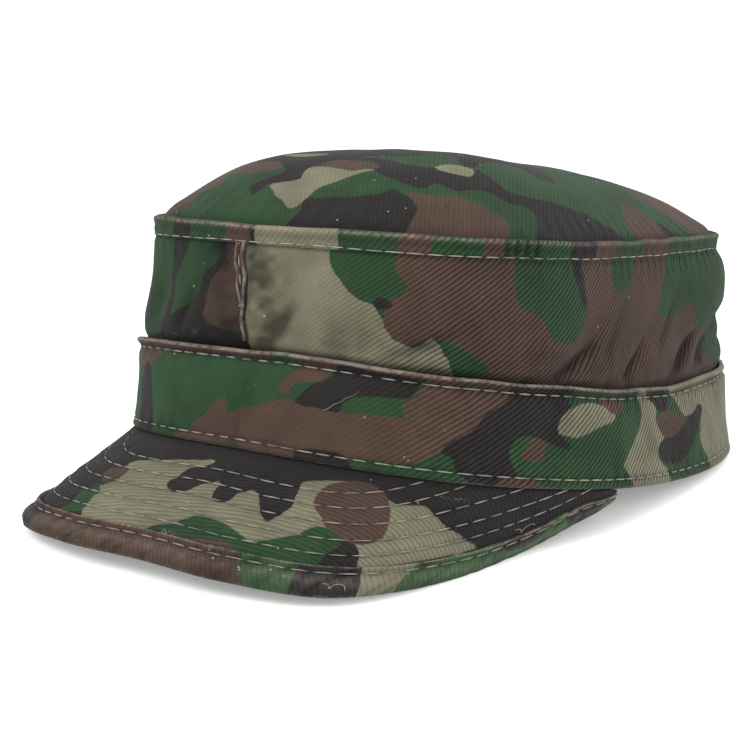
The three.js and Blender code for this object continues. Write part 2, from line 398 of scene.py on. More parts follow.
@dataclass(frozen=True)
class Woodland:
    """Print of the cloth: a chart where the pattern is known, and a wandering pattern elsewhere.

    Attributes:
        raggedness: how far the charted edges wander, in mm.
        edge_seed, edge_size: seed and bump size of that wandering.
        far: the greatest distance to an edge that is worked out, in mm.
        blots: the wandering pattern's dyes.
        stretch: how much smaller the blots are in each direction.
        fine_size, fine_depth: size and depth of their finer bumps, against the broad ones.
        slope: mm of distance for one unit of noise, against the blots' size.
    """

    raggedness: float = 0.55
    edge_seed: int = 51
    edge_size: float = 4.5
    far: float = 20.0
    blots: tuple[Blot, ...] = (Blot(Dye.TAN, 11, 26, 0.24), Blot(Dye.BROWN, 23, 31, 0.02),
                               Blot(Dye.BLACK, 37, 24, 0.26))
    stretch: tuple[float, float, float] = (1.0, 1.0, 1.9)
    fine_size: float = 0.42
    fine_depth: float = 0.32
    slope: float = 0.55

    def wander(self, points: np.ndarray) -> dict[Dye, np.ndarray]:
        """Wandering pattern: distance inside each dye at points of the cap in mm.

        Args:
            points: places on the cap, in mm.

        Returns:
            One array for each printed dye, positive inside it.
        """
        places = points * np.array(self.stretch)
        fields = {}
        for dye, seed, size, level in self.blots:
            broad = Unevenness(seed, size).at(places)
            fine = Unevenness(seed + 1, size * self.fine_size).at(places)
            fields[dye] = (broad + self.fine_depth * fine - level) * size * self.slope
        fields[Dye.BROWN] = np.minimum(fields[Dye.BROWN], -fields[Dye.BLACK])
        fields[Dye.TAN] = np.minimum.reduce([fields[Dye.TAN], -fields[Dye.BLACK], -fields[Dye.BROWN]])
        return fields

    def marks(self, points: np.ndarray, lay: np.ndarray, chart: Chart) -> dict[str, np.ndarray]:
        """Distance inside each dye, in mm, under the name of its mark.

        Args:
            points: places on the cap, in mm.
            lay: the same places in the chart's directions.
            chart: the charted patches.

        Returns:
            One array for each printed dye, positive inside it.
        """
        shape = points.shape[:-1]
        fields = {dye: inside.reshape(-1) for dye, inside in self.wander(points).items()}
        scale = np.array(chart.scale)
        flat = lay.reshape(-1, 2) * scale
        ragged = flat.copy()
        for axis in (0, 1):
            ragged[:, axis] += self.raggedness * Unevenness(self.edge_seed + axis, self.edge_size).at(flat)
        for patch in chart.patches:
            outline = closed_curve(np.array(patch.outline) * scale)
            low = outline.min(axis=0) - self.far
            high = outline.max(axis=0) + self.far
            near = np.all((ragged > low) & (ragged < high), axis=1)
            inside = np.full(len(ragged), -self.far)
            inside[near] = inside_distance(ragged[near], outline)
            for dye in PRINTED:
                if dye is patch.dye:
                    fields[dye] = np.maximum(fields[dye], inside)
                else:
                    fields[dye] = np.minimum(fields[dye], -inside)
        return {dye.value: inside.reshape(shape) for dye, inside in fields.items()}


WOODLAND = Woodland()


@dataclass
class ClothSheet:
    """Closed wall of cloth between two grids of points.

    Attributes:
        name: the piece's name.
        outer, inner: rows and places of points in mm; seen from outside, rows run left to right.
        lay: the cloth's own two directions in mm, with one more row than the grid on a ring.
        marks: values at each point of the grid, by name.
        is_ring: whether the last row joins the first.
        has_pole: whether the last places of all rows meet in one point.
        is_lined: whether the inner side shows the paler back of the cloth.
        weld: distance in m under which points are joined.
    """

    name: str
    outer: np.ndarray
    inner: np.ndarray
    lay: np.ndarray
    marks: dict[str, np.ndarray]
    is_ring: bool = False
    has_pole: bool = False
    is_lined: bool = True
    weld: float = 1e-7

    def corners(self) -> tuple[np.ndarray, np.ndarray, np.ndarray]:
        """Faces as four corners each: the side of the wall, the row and the place.

        Returns:
            Three arrays with four corners a row: side, row and place.
        """
        rows, places = self.outer.shape[:2]
        last = places - 1
        strip = np.arange(rows if self.is_ring else rows - 1)
        row, place = (grid.ravel() for grid in np.meshgrid(strip, np.arange(last), indexing="ij"))
        faces = [
            [(0, row, place), (0, row + 1, place), (0, row + 1, place + 1), (0, row, place + 1)],
            [(1, row, place), (1, row, place + 1), (1, row + 1, place + 1), (1, row + 1, place)],
            [(1, strip, 0), (1, strip + 1, 0), (0, strip + 1, 0), (0, strip, 0)],
        ]
        if not self.has_pole:
            faces.append([(0, strip, last), (0, strip + 1, last), (1, strip + 1, last), (1, strip, last)])
        if not self.is_ring:
            end = np.arange(last)
            final = rows - 1
            faces.append([(0, 0, end), (0, 0, end + 1), (1, 0, end + 1), (1, 0, end)])
            faces.append([(0, final, end + 1), (0, final, end), (1, final, end), (1, final, end + 1)])
        parts = []
        for face in faces:
            columns = np.broadcast_arrays(*(value for corner in face for value in corner))
            parts.append(np.stack(columns, axis=-1).reshape(-1, 4, 3))
        joined = np.concatenate(parts)
        return joined[..., 0], joined[..., 1], joined[..., 2]

    def build(self, material: bpy.types.Material) -> bpy.types.Object:
        """Mesh object of the sheet, with its cloth directions and its marks.

        Args:
            material: the cloth's material.

        Returns:
            The piece, linked to the scene.
        """
        rows, places = self.outer.shape[:2]
        side, row, place = self.corners()
        faces = (side * rows + row % rows) * places + place
        points = REST.place(np.stack([self.outer, self.inner]).reshape(-1, 3))
        mesh = bpy.data.meshes.new(self.name)
        mesh.from_pydata(points, [], faces.tolist())
        cloth = mesh.uv_layers.new(name="Cloth")
        cloth.data.foreach_set("uv", self.lay[row, place].astype(np.float32).ravel())
        for name, values in {**self.marks, "inside": np.zeros(self.outer.shape[:2])}.items():
            back = np.full_like(values, self.is_lined) if name == "inside" else values
            mark = mesh.attributes.new(name, "FLOAT", "POINT")
            mark.data.foreach_set("value", np.stack([values, back]).astype(np.float32).ravel())
        work = bmesh.new()
        work.from_mesh(mesh)
        bmesh.ops.remove_doubles(work, verts=work.verts, dist=self.weld)
        work.to_mesh(mesh)
        work.free()
        mesh.polygons.foreach_set("use_smooth", np.ones(len(mesh.polygons), dtype=bool))
        mesh.materials.append(material)
        piece = bpy.data.objects.new(self.name, mesh)
        bpy.context.scene.collection.objects.link(piece)
        return piece


class Paint:
    """Node tree of one finish, with short ways to add and join nodes."""

    def __init__(self, name: str) -> None:
        """Start an empty material.

        Args:
            name: the material's name.
        """
        self.material = bpy.data.materials.new(name)
        self.material.use_nodes = True
        self.tree = self.material.node_tree
        self.tree.nodes.clear()
        self.shader = self.node("ShaderNodeBsdfPrincipled")
        output = self.node("ShaderNodeOutputMaterial")
        self.join(self.shader.outputs["BSDF"], output.inputs["Surface"])

    def node(self, kind: str, **settings: object) -> bpy.types.Node:
        """New node with its settings.

        Args:
            kind: Blender's name of the node.
            settings: values of its properties.

        Returns:
            The node.
        """
        made = self.tree.nodes.new(kind)
        for name, value in settings.items():
            setattr(made, name, value)
        return made

    def join(self, value: object, socket: bpy.types.NodeSocket) -> None:
        """Give a socket a link or a plain value.

        Args:
            value: an output socket, or a plain value.
            socket: the input.
        """
        if isinstance(value, bpy.types.NodeSocket):
            self.tree.links.new(value, socket)
        else:
            socket.default_value = value

    def math(self, operation: str, *values: object) -> bpy.types.NodeSocket:
        """Result of a calculation.

        Args:
            operation: Blender's name of it.
            values: its inputs in order.

        Returns:
            The result's socket.
        """
        made = self.node("ShaderNodeMath", operation=operation)
        for value, socket in zip(values, made.inputs):
            self.join(value, socket)
        return made.outputs[0]

    def ramp(self, value: object, start: float, end: float, low: float = 0.0,
             high: float = 1.0) -> bpy.types.NodeSocket:
        """Smooth rise of a value from low at start to high at end.

        Args:
            value: the value.
            start, end: where the rise starts and ends.
            low, high: what it rises from and to.

        Returns:
            The result's socket.
        """
        made = self.node("ShaderNodeMapRange", interpolation_type="SMOOTHSTEP")
        for name, given in (("Value", value), ("From Min", start), ("From Max", end), ("To Min", low),
                            ("To Max", high)):
            self.join(given, made.inputs[name])
        return made.outputs["Result"]

    def mix(self, share: object, first: object, second: object, blend: str = "MIX") -> bpy.types.NodeSocket:
        """Colour between two colours.

        Args:
            share: share of the second.
            first, second: the colours.
            blend: Blender's name of the way to blend.

        Returns:
            The colour's socket.
        """
        made = self.node("ShaderNodeMix", data_type="RGBA", blend_type=blend)
        colours = [socket for socket in made.inputs if socket.type == "RGBA"]
        self.join(share, made.inputs[0])
        self.join(first, colours[0])
        self.join(second, colours[1])
        return [socket for socket in made.outputs if socket.type == "RGBA"][0]

    def mark(self, name: str) -> bpy.types.NodeSocket:
        """Value of a mark on the piece."""
        return self.node("ShaderNodeAttribute", attribute_name=name).outputs["Fac"]

    def noise(self, vector: object, scale: float, detail: float = 2.0,
              roughness: float = 0.55) -> bpy.types.NodeSocket:
        """Noise between 0 and 1.

        Args:
            vector: the place.
            scale, detail, roughness: the node's own values.

        Returns:
            The noise's socket.
        """
        made = self.node("ShaderNodeTexNoise")
        self.join(vector, made.inputs["Vector"])
        self.join(scale, made.inputs["Scale"])
        self.join(detail, made.inputs["Detail"])
        self.join(roughness, made.inputs["Roughness"])
        return made.outputs["Fac"]

    def grey(self, value: bpy.types.NodeSocket) -> bpy.types.NodeSocket:
        """Grey colour of a value.

        Args:
            value: the value.

        Returns:
            The colour's socket.
        """
        made = self.node("ShaderNodeCombineColor")
        for socket in made.inputs:
            self.join(value, socket)
        return made.outputs["Color"]

    def bump(self, height: object, distance: float, strength: float,
             under: object = None) -> bpy.types.NodeSocket:
        """Normal of a relief, over the one under it.

        Args:
            height: the relief, from 0 to 1.
            distance: its depth in m.
            strength: from 0 to 1.
            under: normal of a relief under it.

        Returns:
            The normal's socket.
        """
        made = self.node("ShaderNodeBump")
        self.join(height, made.inputs["Height"])
        self.join(distance, made.inputs["Distance"])
        self.join(strength, made.inputs["Strength"])
        if under is not None:
            self.join(under, made.inputs["Normal"])
        return made.outputs["Normal"]


def linear(red: int, green: int, blue: int) -> tuple[float, float, float, float]:
    """Shader colour of an 8-bit display colour.

    Args:
        red, green, blue: from 0 to 255.

    Returns:
        Linear red, green, blue and 1.
    """
    def channel(value: int) -> float:
        """One channel."""
        share = value / 255
        return share / 12.92 if share <= 0.04045 else ((share + 0.055) / 1.055) ** 2.4
    return channel(red), channel(green), channel(blue), 1.0


class Grain(NamedTuple):
    """Noise of a finish: bumps to the metre, detail and roughness."""

    scale: float
    detail: float
    roughness: float = 0.55


@dataclass(frozen=True)
class TwillFinish:
    """Worn cotton twill printed in the woodland dyes.

    Attributes:
        name: the material's name.
        slope: direction of the twill lines in degrees from the cloth's first direction.
        pitch: spacing of the lines in mm.
        relief: how strongly the lines show, from 0 to 1.
        green, tan, brown, black: the dyes' colours.
        worn, lining, specks: colours of worn edges and painted highlights, of the cloth's back and of lint.
        edge_blur: half width of a dye's edge in mm.
        line_power, line_gain, line_dip: how the lines lighten their ridges and darken their grooves.
        fray, patchy, fibre, worn_lit_grain, fuzz, soft: the noises of dye edges, fading, fibres, worn places
        and painted highlights, and the two reliefs.
        lint_scale: lint cells to the metre.
        sheen, specular: the shader's own values.
    """

    name: str
    slope: float
    pitch: float = 1.25
    relief: float = 1.0
    green: tuple = linear(36, 60, 37)
    tan: tuple = linear(107, 105, 86)
    brown: tuple = linear(69, 54, 46)
    black: tuple = linear(33, 30, 30)
    # Pale colour of worn edges, also laid as painted highlights on ridges and lips
    worn: tuple = linear(134, 122, 112)
    lining: tuple = linear(86, 92, 78)
    specks: tuple = linear(150, 148, 140)
    edge_blur: float = 0.22
    line_power: float = 0.7
    line_gain: float = 1.05
    line_dip: float = -0.68
    fray: Grain = Grain(1400, 3, 0.7)
    patchy: Grain = Grain(75, 3)
    fibre: Grain = Grain(2600, 2, 0.7)
    worn_lit_grain: Grain = Grain(420, 4, 0.7)
    fuzz: Grain = Grain(1900, 3, 0.7)
    soft: Grain = Grain(240, 3, 0.6)
    lint_scale: float = 330
    sheen: float = 0.03
    specular: float = 0.15

    def material(self) -> bpy.types.Material:
        """Make the material.

        Returns:
            The material.
        """
        paint = Paint(self.name)
        place = paint.node("ShaderNodeTexCoord").outputs["Object"]
        cloth = paint.node("ShaderNodeUVMap", uv_map="Cloth").outputs["UV"]
        ragged = paint.math("MULTIPLY_ADD", paint.noise(place, *self.fray), 0.9, -0.45)
        colour = self.green
        for dye, tint, edge in ((Dye.TAN, self.tan, -0.3), (Dye.BROWN, self.brown, -0.15),
                                (Dye.BLACK, self.black, 0.0)):
            inside = paint.math("ADD", paint.mark(dye.value), ragged)
            share = paint.ramp(inside, edge - self.edge_blur, edge + self.edge_blur)
            colour = paint.mix(share, colour, tint)
        line = self.twill_line(paint, cloth)
        weave = paint.math("MULTIPLY", paint.mark("weave"), self.relief)
        ridge = paint.math("POWER", line, self.line_power)
        gain = paint.math("MULTIPLY_ADD", ridge, paint.math("MULTIPLY", weave, self.line_gain),
                          paint.math("MULTIPLY_ADD", weave, self.line_dip, 1.0))
        patchy = paint.ramp(paint.noise(place, *self.patchy), 0.25, 0.75, 0.84, 1.14)
        fibre = paint.ramp(paint.noise(place, *self.fibre), 0.2, 0.8, 0.86, 1.14)
        tone = paint.math("MULTIPLY", gain, paint.math("MULTIPLY", patchy, fibre))
        tone = paint.math("MULTIPLY", tone, paint.math("SUBTRACT", 1.0, paint.mark("shade")))
        colour = paint.mix(paint.ramp(paint.mark("inside"), 0.0, 1.0, 0.0, 0.72), colour, self.lining)
        # The pale colour goes where the mark is high: worn edges, and painted highlights on ridges and lips
        worn_and_lit = paint.ramp(paint.noise(place, *self.worn_lit_grain), 0.3, 0.62)
        worn_and_lit = paint.math("MULTIPLY", paint.mark("wear_and_highlight"), worn_and_lit)
        colour = paint.mix(worn_and_lit, colour, self.worn)
        colour = paint.mix(1.0, colour, paint.grey(tone), "MULTIPLY")
        colour = paint.mix(self.lint(paint, place), colour, self.specks)
        paint.join(colour, paint.shader.inputs["Base Color"])
        paint.join(paint.ramp(line, 0.0, 1.0, 0.95, 0.84), paint.shader.inputs["Roughness"])
        paint.join(self.sheen, paint.shader.inputs["Sheen Weight"])
        paint.join(0.5, paint.shader.inputs["Sheen Roughness"])
        paint.join(self.specular, paint.shader.inputs["Specular IOR Level"])
        rough = paint.bump(paint.noise(place, *self.fuzz), 0.00012, 0.5)
        soft = paint.bump(paint.noise(place, *self.soft), 0.0006, 0.35, rough)
        height = paint.math("MULTIPLY", line, weave)
        paint.join(paint.bump(height, 0.00022, 0.8, soft), paint.shader.inputs["Normal"])
        return paint.material

    def twill_line(self, paint: Paint, cloth: bpy.types.NodeSocket) -> bpy.types.NodeSocket:
        """Height of the twill lines between 0 and 1.

        Args:
            paint: the finish's node tree.
            cloth: the cloth's own directions.

        Returns:
            The height's socket.
        """
        mapping = paint.node("ShaderNodeMapping")
        paint.join(cloth, mapping.inputs["Vector"])
        mapping.inputs["Rotation"].default_value = (0, 0, math.radians(90 - self.slope))
        wave = paint.node("ShaderNodeTexWave", wave_type="BANDS", bands_direction="X")
        paint.join(mapping.outputs["Vector"], wave.inputs["Vector"])
        wave.inputs["Scale"].default_value = TAU / 20 / self.pitch
        wave.inputs["Distortion"].default_value = 1.6
        wave.inputs["Detail"].default_value = 2.0
        wave.inputs["Detail Scale"].default_value = 0.6
        return wave.outputs["Fac"]

    def lint(self, paint: Paint, place: bpy.types.NodeSocket) -> bpy.types.NodeSocket:
        """Share of pale lint at a place: a few scattered specks.

        Args:
            paint: the finish's node tree.
            place: the place on the piece.

        Returns:
            The share's socket.
        """
        cells = paint.node("ShaderNodeTexVoronoi")
        paint.join(place, cells.inputs["Vector"])
        cells.inputs["Scale"].default_value = self.lint_scale
        chosen = paint.ramp(paint.noise(place, self.lint_scale, 0), 0.69, 0.71)
        return paint.math("MULTIPLY", paint.ramp(cells.outputs["Distance"], 0.13, 0.04), chosen)


@dataclass(frozen=True)
class ThreadFinish:
    """Pale worn sewing thread."""

    name: str = "sewing_thread"
    colour: tuple = linear(150, 146, 137)
    soiled: tuple = linear(86, 82, 76)
    darkening: Grain = Grain(180, 3)
    ply_scale: float = 3200
    roughness: float = 0.78
    sheen: float = 0.1

    def material(self) -> bpy.types.Material:
        """Make the material.

        Returns:
            The material.
        """
        paint = Paint(self.name)
        place = paint.node("ShaderNodeTexCoord").outputs["Object"]
        darkening = paint.ramp(paint.noise(place, *self.darkening), 0.35, 0.75)
        ply = paint.ramp(paint.noise(place, self.ply_scale, 1), 0.3, 0.7, 0.75, 1.08)
        colour = paint.mix(darkening, self.colour, self.soiled)
        colour = paint.mix(1.0, colour, paint.grey(ply), "MULTIPLY")
        paint.join(colour, paint.shader.inputs["Base Color"])
        paint.join(self.roughness, paint.shader.inputs["Roughness"])
        paint.join(self.sheen, paint.shader.inputs["Sheen Weight"])
        twist = paint.bump(paint.noise(place, self.ply_scale, 2), 0.0002, 0.6)
        paint.join(twist, paint.shader.inputs["Normal"])
        return paint.material


BAND_CHART = Chart(scale=(MM_PER_DEGREE, 1.0), patches=(
    Patch(Dye.GREEN, ((-49, -6), (-51, 14), (-47, 34), (0, 36), (70, 36), (148, 34), (143, 12), (146, -6),
        (40, -8))),
    Patch(Dye.BROWN, ((-33, 20), (-30, 28), (-15, 28.5), (4, 28), (3.5, 25.7), (-12, 25.8), (-20, 24),
        (-24, 20))),
    Patch(Dye.BLACK, ((-27, -3), (-28, 12), (-26, 20), (-23.5, 20), (-22.5, 9), (-21.5, -3))),
    Patch(Dye.BROWN, ((-14, -2), (-10.5, 4), (-8.5, 7), (-7, 9.5), (-5.3, 12.3), (-4.5, 13.5), (-3.6, 13.4),
        (-3.3, 11), (-2.6, 9.7), (0.4, 12), (4.3, 14), (6.7, 15.3), (9.3, 16), (10.5, 15.6), (13.7, 15),
        (17.2, 14.5), (20.2, 14.8), (24.5, 15.5), (27.6, 15.5), (26.7, 18.2), (28, 21), (29.7, 24), (31, 28),
        (33, 33), (43.5, 33), (43, 24.5), (41.3, 21.5), (39.5, 19), (37.5, 14.5), (35.3, 11.5), (33, 7.5),
        (30.2, 5), (27, 3.5), (24, 3.2), (20.3, 3), (18, -3))),
    Patch(Dye.BROWN, ((10.5, 25.5), (8.9, 22.8), (7.2, 19.6), (7, 18), (8.3, 17.7), (9.4, 20.3), (11.7, 21.6),
        (14.8, 22.6), (17, 25), (30, 26.6), (32, 31), (10.5, 31))),
    Patch(Dye.BLACK, ((9.8, 16), (11.5, 18.7), (12.6, 20.8), (14.8, 22.6), (16.8, 25), (18, 26.6), (24, 26.4),
        (29.2, 25.6), (28.9, 23), (28, 21.3), (24.5, 20.3), (20.9, 19.4), (18.7, 17.6), (17.8, 16),
        (17.2, 14.4), (13.7, 14.9), (10.5, 15.4))),
    Patch(Dye.BLACK, ((11, 3), (15, 3.4), (19.6, 3), (20, -3), (11, -3))),
    Patch(Dye.GREEN, ((20.3, 2.8), (23.8, 2.4), (24, 0), (20.5, -0.4))),
    Patch(Dye.GREEN, ((27, -2), (27.3, 3.5), (30.2, 5), (33, 7.5), (34.6, 5), (36, -2))),
    Patch(Dye.GREEN, ((-2.2, 0.4), (-1, 1.8), (0.6, 1.2), (0.4, -0.6))),
    Patch(Dye.BLACK, ((43.5, 33), (43, 24.5), (41.3, 21.5), (39.5, 19), (37.5, 14.5), (35.3, 11.5), (33, 7.6),
        (34.9, 6), (35.5, 3.5), (37, 0.5), (38, -3), (45.5, -3), (45.2, 2.5), (44.2, 6), (43.7, 9.8),
        (44.4, 12.3), (46.2, 14), (47.6, 13.8), (50.4, 13), (53, 11.5), (55.2, 10.8), (55.6, 12), (54, 14),
        (52.8, 15.8), (53.2, 18.6), (55.6, 22), (56, 24.5), (57, 33))),
    Patch(Dye.BROWN, ((42, -3), (42.3, 2.2), (45.5, 2.6), (48.5, 2), (49, -3))),
    Patch(Dye.BROWN, ((46, 9.5), (46.5, 8), (48.5, 7.5), (50, 9), (50.3, 12), (49.3, 13.6), (47.6, 13.6),
        (47, 12))),
    Patch(Dye.TAN, ((52.8, 16), (53.7, 19), (55.6, 21.4), (58.2, 23), (62, 23.6), (66.5, 22.6), (69.5, 21),
        (66.8, 18.6), (63, 16.7), (59.5, 15.3), (55.7, 14.8), (53.6, 15))),
    Patch(Dye.BROWN, ((65, 25), (66.5, 22.7), (69, 21.7), (72.5, 22.3), (73.5, 24.8), (72, 26), (68, 26))),
    Patch(Dye.TAN, ((82, 29), (85, 26), (88, 22.3), (87.3, 19), (88.6, 15.8), (90, 12.8), (87.5, 11.6),
        (86.5, 9.8), (86, 7.5), (87.8, 4.8), (89.3, 3), (87, -3), (76, -3), (72.8, 3.2), (71, 6.2),
        (72.3, 8.3), (75, 11.5), (77.5, 14.2), (80.7, 18.3), (81, 22))),
    Patch(Dye.BLACK, ((85.5, 25.5), (88.2, 22.3), (92, 20.8), (94.5, 23.5), (94, 26.5), (89, 27))),
    Patch(Dye.TAN, ((99.5, 30), (98.5, 24), (99.8, 20), (102, 18.5), (105, 19), (109, 21), (111.5, 20.3),
        (111.8, 18), (109.5, 15), (108, 11), (109, 7), (111, 3), (112, -4), (136, -4), (141, 8), (137, 18),
        (142, 32))),
    Patch(Dye.BROWN, ((88, 19.5), (90, 20), (94, 20.5), (98, 20), (100, 18.5), (99.5, 16.5), (97, 14.5),
        (94.5, 13.3), (92, 12.8), (90.2, 13.4), (88.8, 16))),
    Patch(Dye.BLACK, ((87.5, 11.5), (90, 12.8), (94, 13.3), (97.5, 14.5), (101, 16.5), (105, 18.5),
        (109, 20.5), (111, 20.3), (111.5, 18.5), (109, 16), (106, 12), (102, 8.5), (99, 6.5), (95, 5.2),
        (91, 5), (88.3, 6.3), (86.6, 8.8))),
))

LEFT_SIDE_CHART = Chart(scale=(MM_PER_DEGREE, 1.0), patches=(
    Patch(Dye.GREEN, ((-8, -10), (-8, 50), (60, 52), (138, 50), (143, 30), (136, 16), (145, -10), (60, -12))),
    Patch(Dye.TAN, ((-8, 50), (-8, -10), (33.5, -10), (33.5, 3), (32.3, 6), (31.7, 9), (30.5, 11.3),
        (29.5, 9.3), (27, 8), (25, 9), (24, 12), (23, 16), (21.8, 19.5), (19.8, 21), (17.6, 23.5),
        (16.2, 26.5), (15, 29.5), (14, 36), (14, 50))),
    Patch(Dye.BROWN, ((25, 50), (25, 33), (26.2, 27.5), (26.4, 25.4), (25, 22.8), (24, 20), (23.5, 14),
        (24.5, 11), (26, 8.8), (28, 8), (29.5, 9.3), (30.5, 11.3), (33, 10.5), (36.5, 7.5), (39, 4.5),
        (39.5, 0), (38, -10), (122, -10), (120, 12), (118, 15), (112, 16), (113, 19.5), (111, 22),
        (108, 22.5), (105, 20.5), (99, 20), (93, 20.5), (92.8, 23.5), (95, 28), (99, 35), (99.5, 50),
        (83, 50), (83, 37), (82, 33), (78.5, 28.3), (75, 28), (71.3, 30.5), (71, 36), (71, 50), (61.5, 50),
        (61.3, 23), (61, 20), (60.2, 17), (58.4, 14), (56, 12.5), (53, 13), (51, 15), (49, 19), (46.3, 21.5),
        (44, 24), (43.3, 26.5), (43, 33), (43, 50))),
    Patch(Dye.BLACK, ((57, 50), (57.2, 34), (58.3, 29), (59.5, 25), (61.2, 22.5), (61, 27), (60.3, 34),
        (60.5, 50))),
    Patch(Dye.BLACK, ((22, 20.5), (23, 22.5), (24.5, 21), (24.2, 18.9), (22.8, 18.4))),
))

RIGHT_SIDE_CHART = Chart(scale=(MM_PER_DEGREE, 1.0), patches=(
    Patch(Dye.GREEN, ((8, -10), (8, 50), (-30, 52), (-49, 48), (-46, 30), (-51, 12), (-47, -10))),
    Patch(Dye.BLACK, ((-20, 50), (-15, 50), (-15.5, 32), (-17.5, 23), (-18, 13), (-17, 8.5), (-12, 7.5),
        (-8, 7), (-5, 6), (-2, 5), (3, 4), (3, -10), (-25, -10), (-22, 0), (-21, 7), (-20, 13), (-19.5, 23),
        (-19, 32))),
    Patch(Dye.BLACK, ((-7.2, 44), (-4.8, 44), (-5.5, 31), (-7.8, 25), (-9, 19), (-9.5, 14), (-9.6, 10),
        (-9, 6), (-17, 6), (-17, 10), (-13.5, 14), (-11, 19), (-10.6, 25), (-7.6, 31))),
    Patch(Dye.BROWN, ((-5.3, 50), (-5.5, 32), (-7.8, 25), (-9, 19), (-9.5, 14), (-9.7, 10), (-8, 8.5),
        (-5, 6), (-2.5, 7), (-1.5, 10), (3, 14), (3, 50))),
    Patch(Dye.GREEN, ((-12.4, 4), (-11.5, 5.4), (-10.5, 4.2), (-11.4, 2.6))),
))

WELT_CHART = Chart(scale=(MM_PER_DEGREE, 1.0), patches=(
    Patch(Dye.GREEN, ((-66, -9), (-66, 9), (146, 9), (146, -9))),
    Patch(Dye.BLACK, ((-19, -9), (-18, 9), (-14, 9), (-16, -9))),
    Patch(Dye.BROWN, ((-6, -9), (-5, 9), (-1, 9), (-1, -9))),
    Patch(Dye.BLACK, ((-1, -9), (-0.5, 9), (1.5, 9), (1.5, -9))),
    Patch(Dye.TAN, ((1.5, -9), (1.5, 9), (14, 9), (14, -9))),
    Patch(Dye.BROWN, ((25, -9), (26, 9), (30, 9), (28.5, -9))),
    Patch(Dye.BROWN, ((37, -9), (38.5, 9), (41.5, 9), (40, -9))),
    Patch(Dye.BLACK, ((56, -9), (59, 9), (67, 9), (65, -9))),
    Patch(Dye.BROWN, ((65, -9), (67, 9), (75, 9), (73, -9))),
    Patch(Dye.BROWN, ((88, -9), (90, 9), (101, 9), (99, -9))),
))

PEAK_CHART = Chart(patches=(
    Patch(Dye.BLACK, ((-95, -20), (95, -20), (95, -90), (60, -145), (0, -155), (-60, -145), (-95, -90))),
    Patch(Dye.TAN, ((-32, -113), (-25, -110.5), (-16, -110), (-5, -107.8), (-4, -109.5), (-8, -112.5),
        (-9, -115), (-10.5, -119), (-8, -121.6), (-2, -120.3), (0.6, -117.4), (4, -115.2), (6, -116),
        (6.5, -119), (7.5, -121.6), (11, -122), (13.7, -120.8), (14, -117.5), (16, -115.8), (18, -116),
        (20.5, -117.3), (23.3, -120), (26, -122.3), (29.6, -123.4), (30.6, -119.5), (31, -116.4),
        (29.5, -112), (28, -108), (32, -105), (37, -102), (45, -100), (51.8, -101), (55.3, -98.8),
        (58.4, -94.9), (62.4, -94), (65.7, -92), (68.4, -89), (69.8, -87), (73, -89), (66, -108), (58, -122),
        (55.5, -119), (52.6, -117.4), (44.8, -118), (40.5, -119.5), (38.8, -122.8), (36.9, -125.9),
        (34.1, -128), (30.2, -129.6), (26.9, -129.9), (22.4, -128.7), (18.8, -127.7), (13.4, -127.2),
        (9.2, -127.4), (5.8, -129.2), (2.7, -131.5), (-1.5, -133.8), (-4.8, -135.5), (-10, -137),
        (-13, -135.8), (-16.3, -136.7), (-18.4, -138.5), (-22, -139), (-23.4, -136.3), (-29.2, -132.5),
        (-29.8, -129), (-30.7, -124.9), (-32.3, -122.4), (-29.5, -121.6), (-28.5, -117.2))),
    Patch(Dye.BROWN, ((36.3, -113), (34.1, -108.6), (35, -104.4), (37.5, -102), (42, -99.8), (46.7, -99.7),
        (50.5, -101), (53.9, -104.7), (56, -108.8), (55.6, -112), (54, -115.4), (50.3, -118.2),
        (44.8, -118.4), (40.5, -116.3))),
    Patch(Dye.GREEN, ((-10, -136.5), (-4.8, -135.5), (-1.5, -133.8), (2.7, -131.5), (5.8, -129.2),
        (9.2, -127.4), (13.4, -127.2), (18.8, -127.7), (22.4, -128.7), (26.9, -129.9), (30.2, -129.6),
        (34.1, -128), (36.9, -125.9), (38.8, -122.8), (40.5, -119.6), (44.8, -118), (50, -119.5),
        (48.8, -123.4), (48.9, -128.9), (46, -134), (36, -145), (0, -152), (-12, -142))),
    Patch(Dye.BROWN, ((2, -137.2), (4.8, -136), (9, -135.4), (13, -134.8), (17.2, -133.6), (22.6, -133.3),
        (27.3, -133.9), (31.4, -135.4), (32, -142), (4, -146))),
    Patch(Dye.BROWN, ((-28.5, -117), (-31.5, -113.8), (-36, -115), (-37, -118), (-33, -121), (-29.5, -121))),
    Patch(Dye.GREEN, ((-31.5, -124), (-29.9, -129), (-29.3, -133), (-37, -133.5), (-41, -133),
        (-36.6, -130.5), (-38, -126.5), (-37, -123), (-34, -122))),
    Patch(Dye.TAN, ((57, -91), (61, -88), (64.5, -83.5), (62.5, -86), (60, -89.2))),
))

BINDING_CHART = Chart(scale=(MM_PER_DEGREE * 1.2, 1.0), patches=(
    Patch(Dye.GREEN, ((-99, -9), (-99, 20), (99, 20), (99, -9))),
    Patch(Dye.BROWN, ((-22, -9), (-24, 20), (18, 20), (17, 4), (16, 0), (15, -9))),
    Patch(Dye.BLACK, ((-30, -9), (-33, 4), (-33, 20), (-26, 20), (-24, 5), (-25, -9))),
    Patch(Dye.BLACK, ((25.5, 20), (25, 4), (27, -9), (34, -9), (33, 3), (33, 20))),
    Patch(Dye.TAN, ((33, 20), (33.2, 3), (34, -9), (42, -9), (40, 2), (38.5, 5), (36.5, 20))),
    Patch(Dye.BLACK, ((41, -5), (41.5, 1.5), (45, 0.8), (47, -5))),
    Patch(Dye.BLACK, ((57, -5), (58, 2), (61, 4.5), (66, 5.2), (69, 3), (70, -5))),
    Patch(Dye.BLACK, ((76, -5), (75, 4), (78, 7), (84, 6), (86, 1), (85, -5))),
    Patch(Dye.BLACK, ((-60, -5), (-62, 5), (-50, 6), (-47, -5))),
    Patch(Dye.BROWN, ((-86, -5), (-88, 12), (-72, 12), (-70, -5))),
))

